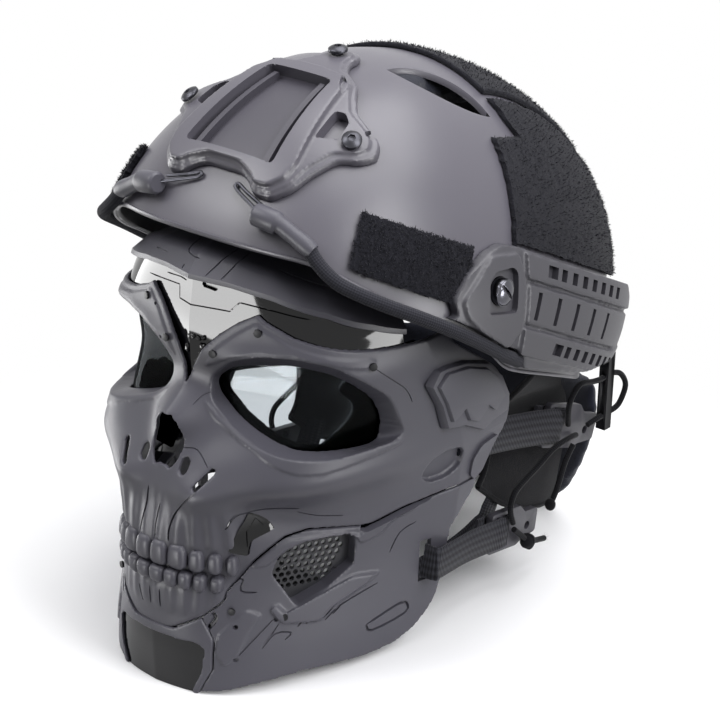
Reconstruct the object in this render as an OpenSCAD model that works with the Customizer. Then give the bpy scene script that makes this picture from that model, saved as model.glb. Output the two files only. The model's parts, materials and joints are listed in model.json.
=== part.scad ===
// Skull face mask laced to a ballistic-style helmet with side rails.
// Rig frame: X to the wearer's left, Y to the back, Z up, origin on the table under the rig.
// The helmet has its own frame, with its origin at the centre of the dome, tipped back by helmet_tilt.

/* [Helmet shell] */
// Half width of the shell across the temples
shell_half_w = 111.5; // [105:0.5:118]
// Half length of the shell from centre to brow
shell_half_l = 145; // [138:0.5:152]
// Height of the crown above the centre of the dome
shell_rise = 122; // [114:0.5:128]
// Squareness of the plan, where 2 is an ellipse
shell_square = 2.5; // [2:0.05:2.8]
// Wall of the moulded shell
shell_wall = 3.2; // [2.4:0.1:4]
// Backward tip of the helmet as it stands
helmet_tilt = 12.3; // [8:0.1:15]
// Height of the dome centre above the table
helmet_z = 173.5; // [168:0.5:185]
// Length of a crown vent
vent_len = 56; // [40:1:60]
// Width of a crown vent
vent_w = 22; // [14:0.5:26]

/* [Shroud] */
// Half width of the shroud across its ears
shroud_half_w = 58; // [52:0.5:62]
// Width of the window for the mount
window_w = 48; // [40:0.5:52]
// Height of the window along the slope
window_h = 61; // [50:0.5:64]
// Thickness of the shroud over the shell
shroud_t = 7; // [5:0.5:9]
// Distance between the two ear screws
shroud_screw_gap = 104; // [94:0.5:108]
// Radius of a shroud screw head
shroud_screw_r = 5; // [4:0.1:6]
// Height of a shroud screw head
shroud_screw_h = 3.2; // [2.5:0.1:4]

/* [Rails] */
// Length of a side rail
rail_len = 180; // [170:1:184]
// Height of the rail across its borders
rail_h = 54; // [48:0.5:57]
// Thickness of the rail outside the shell
rail_t = 8; // [6:0.5:10]
// Number of upright slots in the rail panel
rail_slots = 5; // [3:1:6]
// Number of teeth along each dovetail edge
rail_teeth = 8; // [5:1:9]
// Radius of the big slotted bolt
rail_bolt_r = 7; // [5:0.1:8]

/* [Mask] */
// Wall of the moulded face
mask_wall = 2.4; // [1.8:0.1:3]
// Half width of the face at the cheeks
cheek_half_w = 88; // [84:0.5:92]
// Half width of the jaw at the table
jaw_half_w = 80; // [74:0.5:84]
// Reach of the chin in front of the rig's centre
chin_reach = 162; // [156:0.5:168]
// Wall of a lens
lens_t = 2; // [1.5:0.1:3]
// Thickness of the foam lining
foam_t = 6; // [4:0.5:8]
// Number of upper teeth, an even number
teeth_n = 10; // [6:2:10]
// Hole radius of the breathing mesh
mesh_hole_r = 1.25; // [0.9:0.05:1.4]
// Pitch of the breathing mesh
mesh_pitch = 3.9; // [3.4:0.1:4.6]

/* [Straps and cords] */
// Width of the mask webbing
web_w = 22; // [18:0.5:26]
// Thickness of the webbing
web_t = 1.6; // [1.2:0.1:2.2]
// Width of the chin webbing
chin_web_w = 18; // [15:0.5:22]
// Diameter of the brow bungee
bungee_d = 7; // [5:0.1:8]
// Diameter of the lacing cord
lace_d = 3.4; // [2.5:0.1:4]

/* [Hidden] */

// Fit between pieces that sit on each other
seat = 0.3;
// Colours of the moulded shell, the face, the gloss parts, cloth and metal
shell_grey = "#66666c";
face_grey = "#58585c";
gloss_black = "#16161a";
web_black = "#3c3c40";
pile_black = "#252529";
pad_navy = "#2d2f3e";
metal_dark = "#48484c";
lens_clear = "#c8d2d6";

// Superellipsoid that carries the shell: its size along a direction, 1 on the outer face
function gauge(v, off) =
    let (a = shell_half_w + off, b = shell_half_l + off, c = shell_rise + off,
         plan = pow(pow(abs(v.x) / a, shell_square) + pow(abs(v.y) / b, shell_square), 1 / shell_square))
    norm([plan, v.z / c]);
function toward(az, el) = [sin(az) * cos(el), -cos(az) * cos(el), sin(el)];
function on_shell(az, el, off) = toward(az, el) / gauge(toward(az, el), off);
// Points of the same surface, seen from the side and from above
function shell_room(z, off) = pow(sqrt(1 - pow(z / (shell_rise + off), 2)), shell_square);
function shell_side(y, z, off) =
    [(shell_half_w + off) * pow(max(shell_room(z, off) - pow(abs(y) / (shell_half_l + off), shell_square), 0),
                                1 / shell_square), y, z];
function shell_front(x, z, off) =
    [x, -(shell_half_l + off) * pow(shell_room(z, off) - pow(abs(x) / (shell_half_w + off), shell_square),
                                    1 / shell_square), z];
function shell_top(x, y, off) =
    [x, y, (shell_rise + off) * sqrt(1 - pow(pow(abs(x) / (shell_half_w + off), shell_square)
                                    + pow(abs(y) / (shell_half_l + off), shell_square), 2 / shell_square))];

// Faces of a closed solid between two grids of points, the outer one first
function grid_faces(rows, cols, start, turned) = [
    for (i = [0:rows - 2], j = [0:cols - 2])
        let (a = start + i * cols + j, b = a + 1, c = a + cols + 1, d = a + cols)
        each (turned ? [[a, b, c], [a, c, d]] : [[a, c, b], [a, d, c]])];
function edge_loop(rows, cols) = concat(
    [for (j = [0:cols - 2]) j], [for (i = [0:rows - 2]) i * cols + cols - 1],
    [for (j = [cols - 1:-1:1]) (rows - 1) * cols + j], [for (i = [rows - 1:-1:1]) i * cols]);
module slab(outer, inner) {
    rows = len(outer);
    cols = len(outer[0]);
    n = rows * cols;
    rim = edge_loop(rows, cols);
    walls = [for (k = [0:len(rim) - 1])
        let (a = rim[k], b = rim[(k + 1) % len(rim)]) each [[a, b, b + n], [a, b + n, a + n]]];
    polyhedron(concat([for (r = outer) each r], [for (r = inner) each r]),
               concat(grid_faces(rows, cols, 0, false), grid_faces(rows, cols, n, true), walls));
}
// Closed tube or ribbon through rings of points
module skin(rings) {
    n = len(rings);
    m = len(rings[0]);
    sides = [for (i = [0:n - 2], j = [0:m - 1])
        let (a = i * m + j, b = i * m + (j + 1) % m) each [[a, b, b + m], [a, b + m, a + m]]];
    fan = [for (j = [1:m - 2]) [0, j + 1, j]];
    ends = concat(fan, [for (j = [1:m - 2]) [(n - 1) * m, (n - 1) * m + j, (n - 1) * m + j + 1]]);
    polyhedron([for (r = rings) each r], concat(sides, ends));
}
function unit(v) = v / norm(v);
function heading(route, i) =
    unit(route[min(i + 1, len(route) - 1)] - route[max(i - 1, 0)]);
// Round cord along a route; up is any direction the cord never points in
module cord(route, d, up) {
    skin([for (i = [0:len(route) - 1])
        let (t = heading(route, i), s = unit(cross(t, up)), n = cross(s, t))
        [for (k = [0:cord_sides - 1]) let (a = 360 * k / cord_sides)
            route[i] + d / 2 * (cos(a) * s + sin(a) * n)]]);
}
// Flat webbing along a route; up points across its width
module ribbon(route, wide, thick, up) {
    skin([for (i = [0:len(route) - 1])
        let (t = heading(route, i), n = unit(cross(t, up)), s = cross(n, t))
        [for (c = [[1, 1], [-1, 1], [-1, -1], [1, -1]])
            route[i] + c.x * n * thick / 2 + c.y * s * wide / 2]]);
}
module mirrored(side) { mirror([side < 0 ? 1 : 0, 0, 0]) children(); }
// Outline drawn as seen from the front, cut from y = back towards the viewer
module from_front(back, deep) { translate([0, back, 0]) rotate([90, 0, 0]) linear_extrude(deep) children(); }
// Outline drawn in y and z, cut from x = start outwards
module from_side(start, deep) { translate([start, 0, 0]) rotate([90, 0, 90]) linear_extrude(deep) children(); }
module rounded(r) { offset(r, $fn = 16) offset(delta = -r) children(); }

cord_sides = 8;
// Region of the shell between two directions, from one offset to another
module shell_patch(az, el, steps, lift) {
    slab([for (i = [0:steps.y]) [for (j = [0:steps.x])
             on_shell(az[0] + (az[1] - az[0]) * j / steps.x, el[0] + (el[1] - el[0]) * i / steps.y, lift[1])]],
         [for (i = [0:steps.y]) [for (j = [0:steps.x])
             on_shell(az[0] + (az[1] - az[0]) * j / steps.x, el[0] + (el[1] - el[0]) * i / steps.y, lift[0])]]);
}
// Four-cornered patch; corners are directions, upper front first, then along the top
module shell_quad(corners, steps, lift) {
    function at(u, v) = (1 - v) * ((1 - u) * corners[0] + u * corners[1])
                        + v * ((1 - u) * corners[3] + u * corners[2]);
    slab([for (i = [0:steps.y]) [for (j = [0:steps.x])
             let (d = at(j / steps.x, 1 - i / steps.y)) on_shell(d.x, d.y, lift[1])]],
         [for (i = [0:steps.y]) [for (j = [0:steps.x])
             let (d = at(j / steps.x, 1 - i / steps.y)) on_shell(d.x, d.y, lift[0])]]);
}
// Places its children in the helmet's own frame
module on_helmet() { translate([0, 0, helmet_z]) rotate([-helmet_tilt, 0, 0]) children(); }

function in_rig(p) = turn_x(p, -helmet_tilt) + [0, 0, helmet_z];

// Height of the rim as an angle above the dome's centre, by direction from the brow
rim_line = [[0, 13.5], [27, 13], [38, 9.5], [50, 5], [64, 1], [72, -2.5], [80, -8.5], [92, -11], [130, -16.5], [180, -19]];
function rim_el(az) = lookup(az > 180 ? 360 - az : az, rim_line);
shell_cols = 48;
shell_rows = 11;
module helmet_shell() {
    n = shell_cols * shell_rows;
    skin_at = function (off) [for (i = [0:shell_rows - 1], j = [0:shell_cols - 1])
        let (az = 360 * j / shell_cols, low = rim_el(az))
        on_shell(az, low + (90 - low) * i / shell_rows, off)];
    points = concat(skin_at(0), skin_at(-shell_wall), [on_shell(0, 90, 0), on_shell(0, 90, -shell_wall)]);
    bands = [for (i = [0:shell_rows - 2], j = [0:shell_cols - 1])
        let (a = i * shell_cols + j, b = i * shell_cols + (j + 1) % shell_cols, c = b + shell_cols, d = a + shell_cols)
        each [[a, c, b], [a, d, c], [a + n, b + n, c + n], [a + n, c + n, d + n]]];
    last = n - shell_cols;
    closing = [for (j = [0:shell_cols - 1])
        let (k = (j + 1) % shell_cols)
        each [[last + j, 2 * n, last + k], [last + j + n, last + k + n, 2 * n + 1], [j, k, k + n], [j, k + n, j + n]]];
    color(shell_grey) on_helmet() difference() {
        polyhedron(points, concat(bands, closing));
        for (s = [-1, 1]) {
            vent([s * 42, -17], s * 42);
            vent([s * 44, 84], s * 125);
        }
    }
}
// Leaf-shaped hole through the crown, seen from above
module vent(at, turn) {
    translate([at.x, at.y, shell_rise / 4]) rotate(turn) linear_extrude(shell_rise) intersection_for (e = [-1, 1])
        translate([0, e * (vent_bow - vent_w / 2)]) circle(vent_bow, $fn = 96);
}
// Radius of the arcs whose crossings are vent_len apart
vent_bow = (pow(vent_len / 2, 2) + pow(vent_w / 2, 2)) / vent_w;

// The shroud is drawn on the slope of the brow: across it, and up it
shroud_at = [0, 45 - shell_half_l, shell_rise - 31];
shroud_slope = 52.3;
module on_brow() { translate(shroud_at) rotate([90 - shroud_slope, 0, 0]) children(); }
module shroud_outline() {
    half = [[0, -35], [12, -36], [19, -40], [23, -44], [33, -43], [40, -35], [44, -24], [50, -10], [58, -4],
            [shroud_half_w + 4, 4], [shroud_half_w + 1, 12], [50, 16], [41, 20], [33, 30], [28, 38], [15, 46],
            [10, 54], [9, 63], [5, 67], [0, 68]];
    rounded(1.5) polygon(concat(half, [for (i = [len(half) - 1:-1:0]) [-half[i].x, half[i].y]]));
}
module window_outline(gap) {
    w = window_w / 2;
    h = window_h / 2;
    rounded(1.5) offset(delta = -gap) polygon([[-w - 4, -h], [w + 4, -h], [w - 4, h], [-w + 4, h]]);
}
module mount_shroud() {
    color(shell_grey) on_helmet() difference() {
        intersection() {
            shell_patch([-46, 46], [16, 74], [16, 12], [seat, shroud_t]);
            on_brow() translate([0, 0, -60]) linear_extrude(100) shroud_outline();
        }
        on_brow() translate([0, 0, -60]) linear_extrude(100) window_outline(0);
        for (s = [-1, 1]) on_brow() translate([0, 0, -60]) linear_extrude(100)
            rounded(1) polygon([[s * 33, -1], [s * 44, 1], [s * 42, 12], [s * 38, 15]]);
        shroud_fixings(shroud_screw_r - 2.2, 30);
    }
}
// Cylinders at the three shroud screws
module shroud_fixings(r, deep) {
    for (s = [-1, 1]) screw_at(shell_front(s * shroud_screw_gap / 2, screw_z, 0), s * 30, 42) cylinder(deep, r = r, center = true, $fn = 24);
    screw_at(shell_top(0, -50, 0), 0, 72) cylinder(deep, r = r, center = true, $fn = 24);
}
screw_z = 89;
module screw_at(p, az, el) { translate(p) rotate([90 - el, 0, az]) children(); }
// Raised plate with ribs that fills the floor of the shroud's window
module shroud_plate() {
    color(shell_grey) on_helmet() difference() {
        intersection() {
            shell_patch([-22, 22], [20, 68], [6, 8], [seat, shroud_t / 3]);
            on_brow() translate([0, 0, -60]) linear_extrude(100) window_outline(seat);
        }
        for (s = [-1, 1]) on_brow() translate([s * window_w / 3, 4, 0])
            linear_extrude(40) square([2, window_h * 0.6], center = true);
    }
}
module shroud_screws() {
    color(metal_dark) on_helmet() {
        for (s = [-1, 1])
            screw_at(shell_front(s * shroud_screw_gap / 2, screw_z, shroud_t + seat), s * 30, 42) button_screw();
        screw_at(shell_top(0, -50, shroud_t + seat), 0, 72) button_screw();
    }
}
// Domed head with a hexagon socket, standing on its seat
module button_screw() {
    difference() {
        rotate_extrude($fn = 24) intersection() {
            translate([0, shroud_screw_h - dome_r]) circle(dome_r, $fn = 64);
            square([shroud_screw_r, shroud_screw_h]);
        }
        translate([0, 0, shroud_screw_h / 2]) cylinder(shroud_screw_h, r = shroud_screw_r * 0.4, $fn = 6);
    }
}
dome_r = 8;

// The rail is drawn from the side, in the helmet's y and z
rail_front = -69;
rail_drop = 0.24;
bolt_y = -38;
bolt_z = 25.5;
function rail_z(y) = 14.5 - rail_drop * y;
module rail_outline() {
    back = rail_front + rail_len;
    h = rail_h / 2;
    rounded(2) polygon(concat([[rail_front, 22], [rail_front + 9, 34], [-45, rail_z(-45) + h - 8], [-34, rail_z(-34) + h - 2],
        [-22, rail_z(-22) + h - 1], [back - 14, rail_z(back) + h], [back - 5, rail_z(back) + h - 6],
        [back, rail_z(back) + 12], [back - 5, rail_z(back) - 8], [back - 14, rail_z(back) - 15], [60, rail_z(60) - h],
        [-9, rail_z(-9) - h - 6]],
        [for (i = [len(bungee_route) - 1:-1:6]) let (p = bungee_route[i]) [p.y, p.z + bungee_d / 2 + 5 * seat]],
        [[rail_front + 3, 13]]));
}
module rail(side) {
    color(shell_grey) on_helmet() mirrored(side) difference() {
        intersection() {
            rail_layer();
            from_side(60, 80) rail_outline();
        }
        for (i = [0:rail_slots - 1]) rail_slot(slot_y + i * slot_pitch);
        for (i = [0:rail_teeth - 1], e = [-1, 1]) rail_notch(notch_y - 6 * e + i * notch_pitch, e * notch_rise, i == 0 ? 9 : 5);
        rail_step(1);
        rail_step(-1);
        translate(shell_side(bolt_y, bolt_z, rail_t)) rotate([0, 90, 0])
            cylinder(2 * rail_t, r = rail_bolt_r + seat, center = true, $fn = 32);
    }
}
slot_y = -9;
slot_pitch = 18.5;
notch_y = 9;
notch_pitch = 10.4;
notch_rise = rail_h / 2 - 8;
// The rail stands further off the shell towards its back end
function rail_lift(y) = rail_t + 5 * pow(max(y, 0) / 110, 2);
module rail_layer() {
    ys = even(rail_front - 3, rail_front + rail_len + 3, 12);
    zs = even(-46, 52, 6);
    slab([for (z = zs) [for (y = ys) shell_side(y, z, rail_lift(y))]], [for (z = zs) [for (y = ys) shell_side(y, z, 2 * seat)]]);
}
// Upright slot through the rail's panel
module rail_slot(y) {
    translate([90, y, rail_z(y)]) rotate([-atan(rail_drop), 0, 0]) cube([80, 3.4, 14], center = true);
}
// Square pocket of the dovetail edge
module rail_notch(y, dz, wide) {
    translate(shell_side(y, rail_z(y) + dz, rail_lift(y))) rotate([-atan(rail_drop), 0, 0]) cube([7, wide, 6], center = true);
}
// Groove between the panel and a border
module rail_step(e) {
    route = [for (y = [-12:20:88]) shell_side(y, rail_z(y) + e * 11.5, rail_lift(y))];
    cord(concat([route[0] - [0, 6, 0]], route), 2.4, [1, 0, 0]);
}
module rail_bolts() {
    color(metal_dark) on_helmet() for (s = [-1, 1]) mirrored(s)
        translate(shell_side(bolt_y, bolt_z, seat)) rotate([0, 90, 0]) difference() {
            union() {
                translate([0, 0, 2]) cylinder(rail_t - 2, r = rail_bolt_r, $fn = 32);
                translate([0, 0, rail_t]) cylinder(2, r1 = rail_bolt_r, r2 = rail_bolt_r - 1.5, $fn = 32);
            }
            translate([0, 0, rail_t + 2]) cube([2 * rail_bolt_r, 1.8, 4], center = true);
        }
}

// Hook-and-loop fields
pile_t = 3;
module side_patch(side) {
    color(pile_black) on_helmet() mirrored(side) difference() {
        shell_quad([[34, 25], [63, 22], [60, 8.5], [33.5, 13.5]], [8, 4], [2 * seat, pile_t]);
        from_side(60, 80) offset(delta = 2 * seat) rail_outline();
    }
}
module rear_patch(side) {
    color(pile_black) on_helmet() mirrored(side) intersection() {
        shell_patch([76, 168], [-4, 74], [14, 9], [2 * seat, pile_t]);
        from_side(10, 120) rounded(2) polygon(concat(rear_edge, [for (y = [129, 100, 50, -20]) [y, rail_z(y) + rail_h / 2 + 1]]));
    }
}
crown_from = 10;
crown_len = 76;
function crown_half(v) = 50 + 15 * v * v;
// Upper outline of the rear field: its front corner, the step to the crown, and the seam down the back
rear_edge = concat([[-21, 44], [-10, 93], [12.5, 92.5], [crown_from, 100]],
                   [for (v = even(0, 1, 6)) let (p = shell_top(crown_half(v) + 1.5, crown_from + crown_len * v, 0)) [p.y, p.z]],
                   [[100, 76], [129, 70]]);
module crown_patch() {
    xs = even(-1, 1, 10);
    ys = even(0, 1, 7);
    function at(u, v, off) = shell_top(u * crown_half(v), crown_from + crown_len * v + 8 * (1 - u * u) * v, off);
    color(pile_black) on_helmet()
        slab([for (v = ys) [for (u = xs) at(u, v, pile_t)]], [for (v = ys) [for (u = xs) at(u, v, seat)]]);
}

// Brow bungee: wire hook and barrel under the shroud, then cord along the rim to a step in the rail.
// Routes on the shell are directions, each with its lift off the shell.
cord_lift = bungee_d / 2 + seat;
sleeve_t = 0.8;
barrel_t = 2;
function along(route) = [for (d = route) on_shell(d[0], d[1], d[2])];
bungee_route = along([[25.1, 15.8, cord_lift + sleeve_t], for (d = [[27.9, 13], [31.7, 10.5], [36.5, 8.9], [42.4, 7.4],
    [48.9, 5.8], [56.1, 3.8], [63.3, 1.4], [70.7, -1.4], [76.7, -3.8], [80.7, -5.1], [83, -5.9]]) [d.x, d.y, cord_lift]]);
barrel = along([[12.8, 19.8, cord_lift + barrel_t], [18.6, 18.9, cord_lift + barrel_t]]);
wire_d = 1.8;
hook_wire = along([[13.3, 20.3, 4.5], [10.4, 21.7, 3], [7.2, 23.1, 2], [5.5, 23.9, 1.6], [4.9, 24.6, 1.6], [5.6, 25, 1.6],
    [8.1, 23.9, 1.8], [10.9, 22.8, 2.2], [13, 21.9, 3.4]]);
module bungee(side) {
    color(web_black) on_helmet() mirrored(side) cord(bungee_route, bungee_d, [0, 0, 1]);
}
module bungee_hook(side) {
    pull = unit(bungee_route[0] - barrel[1]);
    color(metal_dark) on_helmet() mirrored(side) {
        cord(barrel, bungee_d + 2 * barrel_t, [0, 0, 1]);
        cord([barrel[1] - 3 * pull, bungee_route[0] - 5 * seat * pull], bungee_d + 2 * sleeve_t, [0, 0, 1]);
        cord(hook_wire, wire_d, [0, 1, 0]);
    }
}

// Padding inside the shell
pad_off = -(shell_wall + 3 * seat);
module crown_pad() {
    xs = [for (i = [-3:3]) 12 * i];
    ys = [for (i = [-3:3]) 14 * i];
    color(pad_navy) on_helmet()
        slab([for (y = ys) [for (x = xs) shell_top(x, y, pad_off)]],
             [for (y = ys) [for (x = xs) shell_top(x, y, pad_off - pad_swell(x / 38, y / 44))]]);
}
// Thickness of a pad, fullest in the middle
function pad_swell(u, v) = pad_t * (0.55 + 0.45 * (1 - pow(u, 4)) * (1 - pow(v, 4)));
pad_t = 15;
module inner_pad(az, el) {
    color(pad_navy) on_helmet() slab(
        [for (i = [0:5]) [for (j = [0:7]) on_shell(az[0] + (az[1] - az[0]) * j / 7, el[0] + (el[1] - el[0]) * i / 5, pad_off)]],
        [for (i = [0:5]) [for (j = [0:7]) on_shell(az[0] + (az[1] - az[0]) * j / 7, el[0] + (el[1] - el[0]) * i / 5,
                                                  pad_off - pad_swell(j / 3.5 - 1, i / 2.5 - 1))]]);
}
module front_pad() { inner_pad([-36, 36], [29, 52]); }
module side_pad(side) { mirrored(side) inner_pad([68, 122], [6, 34]); }

// The face: rows of height, reach, slope, width, back and squareness.
// The width column is a blend from the jaw, at 0, to the cheek, at 1.
face_rows = [
    [-10, -2, 0.1, -0.1, -30, 3.4], [0, 0, 0.1, 0, -30, 3.4], [21, 2, 0.1, 0.25, -28, 3],
    [38, 2, 0.05, 0.4, -26, 2.6], [60, 3, 0, 0.6, -25, 2.2], [88, 1, 0, 0.9, -24, 2.4],
    [100, -1, 0, 1, -24, 2.9], [112, -2, 0.05, 1.1, -25, 3.6], [125, -7, 0.15, 1.25, -30, 4.5],
    [140, -18, 0.2, 1.25, -38, 6.5], [155, -25, 0.25, 1.25, -45, 8], [173, -24, 0.3, 1.25, -55, 10],
    [190, -23, 0.35, 0.9, -60, 8], [205, -25, 0.35, 0.5, -60, 6], [220, -27, 0.35, 0, -60, 5],
    [235, -30, 0.35, -0.5, -60, 5]];
function row_of(z, i = 0) = i >= len(face_rows) - 2 || z < face_rows[i + 1][0] ? i : row_of(z, i + 1);
function smooth(z, k) =
    let (i = row_of(z), n = len(face_rows) - 1, r1 = face_rows[i], r2 = face_rows[i + 1],
         r0 = face_rows[max(i - 1, 0)], r3 = face_rows[min(i + 2, n)], h = r2[0] - r1[0], u = (z - r1[0]) / h,
         m1 = (r2[k] - r0[k]) / (r2[0] - r0[0]) * h, m2 = (r3[k] - r1[k]) / (r3[0] - r1[0]) * h)
    (2 * u ^ 3 - 3 * u ^ 2 + 1) * r1[k] + (u ^ 3 - 2 * u ^ 2 + u) * m1
    + (3 * u ^ 2 - 2 * u ^ 3) * r2[k] + (u ^ 3 - u ^ 2) * m2;
function face_w(z) = jaw_half_w + (cheek_half_w - jaw_half_w) * smooth(z, 3);
// Swellings and hollows of the skull: depth, place across and up, spread across and up
bumps = [[15, 0, 144, 12, 12], [4, 40, 177, 26, 8], [6, 66, 117, 18, 11], [-8, 50, 98, 13, 12], [3, 22, 112, 12, 8]];
function relief(x, z) = sum([for (b = bumps)
    b[0] * exp(-pow((abs(x) - b[1]) / b[3], 2) - pow((z - b[2]) / b[4], 2))]);
function sum(v, i = 0) = i == len(v) ? 0 : v[i] + sum(v, i + 1);
// Point of the face: t is the share of the half width, and past 1 it runs straight back
ear_run = 60;
function face_at(t, z, off, carved) =
    let (g = min(abs(t), 1), w = face_w(z), reach = -chin_reach - smooth(z, 1) + 2,
         slope = smooth(z, 2), back = smooth(z, 4), x = w * g,
         y = reach + slope * x + (back - reach - slope * w) * pow(g, smooth(z, 5)) + max(abs(t) - 1, 0) * ear_run,
         d = unit([x, min(y + 40, 0)]), p = [x, y] + d * (off + carved * relief(x, z)))
    [t < 0 ? -p.x : p.x, p.y, z];
module face_sheet(ts, zs, off, wall, carved) {
    slab([for (z = zs) [for (t = ts) face_at(t, z, off, carved)]],
         [for (z = zs) [for (t = ts) face_at(t, z, off - wall, carved)]]);
}
function even(a, b, n) = [for (i = [0:n]) a + (b - a) * i / n];
// Columns of the face, closer where it turns at the side
half_cols = [0, 0.05, 0.1, 0.15, 0.21, 0.28, 0.36, 0.44, 0.52, 0.6, 0.68, 0.76, 0.83, 0.89, 0.935, 0.965, 0.985, 1];
function cols(a, b) = concat([a], [for (t = half_cols) if (t > a + 0.01 && t < b - 0.01) t], [b]);
function both(half) = concat([for (i = [len(half) - 1:-1:1]) -half[i]], half);

// Outlines of the face as seen from the front, for the wearer's left
brow_edge = [[0, 158], [3, 168], [8, 178], [15, 186], [24, 194], [34, 200], [38, 197], [52, 191], [68, 187],
             [84, 183], [100, 180]];
guard_line = [[0, 31], [13, 36], [26, 44], [33, 52], [34, 58], [38, 65], [42, 73], [50, 84], [56, 86], [63, 84],
              [70, 81], [77, 86], [85, 89], [100, 90]];
// Lip of the eye socket, and the smaller opening at its bottom, point for point
eye_lip = [[12, 164], [13, 154], [21, 147], [31, 142], [42, 138], [52, 135], [63, 132], [74, 129], [84, 131], [84, 142],
           [83, 158], [80, 170], [72, 179], [55, 182], [38, 181], [24, 176]];
eye_floor = [[10, 160], [12.5, 153.5], [20, 149], [28, 145], [40, 141], [52, 137.5], [62, 133], [72, 129.5], [80, 127],
             [82, 141], [81, 153], [77.5, 165], [71, 172], [54, 174], [36, 171], [20, 168]];
socket_deep = 9;
ear_outline = [[-52, 184], [-30, 170], [1, 149], [15, 128], [13, 113], [2, 99], [-9, 84]];
module upper_region() {
    for (s = [-1, 1]) polygon([for (p = concat([for (i = [len(brow_edge) - 1:-1:0]) brow_edge[i]], guard_line)) [s * p.x, p.y]]);
}
module skull_face() {
    ts = both(concat(half_cols, even(1.3, 2.1, 2)));
    color(face_grey) {
        difference() {
            intersection() {
                face_sheet(ts, even(28, 204, 21), 0, mask_wall, 1);
                from_front(60, 260) upper_region();
                from_side(-120, 240) polygon(concat([[-220, 20], [-220, 210], [-70, 210]], ear_outline, [[-9, 20]]));
            }
            for (s = [-1, 1]) mirrored(s) {
                from_front(-30, 160) polygon(eye_lip);
                from_front(-100, 100) nostril();
                slot_between([13, 125], [13, 121], 2.2);
                slot_between([28, 124], [23, 115], 1.4);
                ear_recess();
            }
        }
        teeth();
        for (s = [-1, 1]) mirrored(s) socket();
    }
}
// Wall of the eye socket, from the lip in to the opening
module socket() {
    n = len(eye_lip);
    mid = [50, 156];
    function out(p) = p + (p - mid) / norm(p - mid) * 1.6;
    function deep(p, off) = face_at(p.x / face_w(p.y), p.y, off, 0);
    rings = [for (i = [0:n - 1]) [arch(eye_lip[i].x, eye_lip[i].y, -0.2), deep(eye_floor[i], -socket_deep),
                                  deep(out(eye_floor[i]), -socket_deep), arch(out(eye_lip[i]).x, out(eye_lip[i]).y, -mask_wall)]];
    polyhedron([for (r = rings) each r], [for (i = [0:n - 1], k = [0:3])
        let (j = (i + 1) % n, m = (k + 1) % 4) each [[4 * i + k, 4 * i + m, 4 * j + m], [4 * i + k, 4 * j + m, 4 * j + k]]]);
}
// Half of the nose opening, joined to its mirror image
module nostril() {
    polygon([[-0.1, 148], [4, 146], [8, 139], [9, 131], [7, 124], [4, 119], [1.5, 122], [-0.1, 126]]);
}
module slot_between(a, b, r) {
    from_front(-100, 100) hull() {
        translate(a) circle(r, $fn = 12);
        translate(b) circle(r, $fn = 12);
    }
}
module ear_recess() {
    from_side(60, 60) hull() {
        translate([-42, 105]) circle(7, $fn = 20);
        translate([-30, 110]) circle(2, $fn = 12);
    }
}
// Teeth: the arch is cut into steps that shrink towards the back
tooth_edges = [0, 9, 17.5, 25, 31, 35.5];
function arch(x, z, off) =
    face_at(max(min(x / face_w(z), 1), -1), z, off, 1);
module tooth(x0, x1, low, high) {
    m = (x0 + x1) / 2;
    r = (x1 - x0) / 2;
    hull() {
        for (e = [-0.45, 0.45]) translate(arch(m + e * r, high, -0.8)) sphere(r * 0.6, $fn = 8);
        for (e = [-0.3, 0.3]) translate(arch(m + e * r, low, -0.2)) sphere(r * 0.62, $fn = 8);
    }
}
module teeth() {
    n = min(teeth_n / 2, len(tooth_edges) - 1);
    for (s = [-1, 1]) mirrored(s) for (i = [0:n - 1]) {
        tooth(tooth_edges[i], tooth_edges[i + 1], bite_z + 3.6, bite_z + 11);
        tooth(tooth_edges[i], tooth_edges[i + 1], bite_z - 3.6, bite_z - 7.5);
    }
}
bite_z = 69;

// Gloss forehead behind the brow, and the cap over it
cap_edge = [[0, 216], [0.25, 214.5], [0.49, 211], [0.75, 204], [0.9, 196.5], [0.97, 191]];
module forehead_panel() {
    ts = both(cols(0, 0.97));
    low = [[0, 158], [0.05, 160], [0.1, 170], [0.15, 181], [0.21, 184.5], [0.6, 185.5], [0.8, 183.5], [0.97, 180.5]];
    rows = 5;
    function z_at(t, i) = let (a = lookup(abs(t), low), b = lookup(abs(t), cap_edge)) a + (b - a) * i / rows;
    color(gloss_black)
        slab([for (i = [0:rows]) [for (t = ts) face_at(t, z_at(t, i), -mask_wall - seat, 0)]],
             [for (i = [0:rows]) [for (t = ts) face_at(t, z_at(t, i), -2 * mask_wall - seat, 0)]]);
}
module brow_cap() {
    ts = both(cols(0, 0.97));
    steps = [[-3, 1], [0, 1.2], [8, -5], [13, -20]];
    function p(t, k, in) = let (z = lookup(abs(t), cap_edge) + steps[k][0] + seat)
        face_at(t, z - (k > 1 ? in * mask_wall : 0), steps[k][1] - in * mask_wall * (k < 3 ? 1 : 0), 0);
    color(face_grey) slab([for (k = [0:3]) [for (t = ts) p(t, k, 0)]], [for (k = [0:3]) [for (t = ts) p(t, k, 1)]]);
}

// Jaw guard in two halves, with the breathing mesh let into its corner
part_gap = 0.5;
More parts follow.
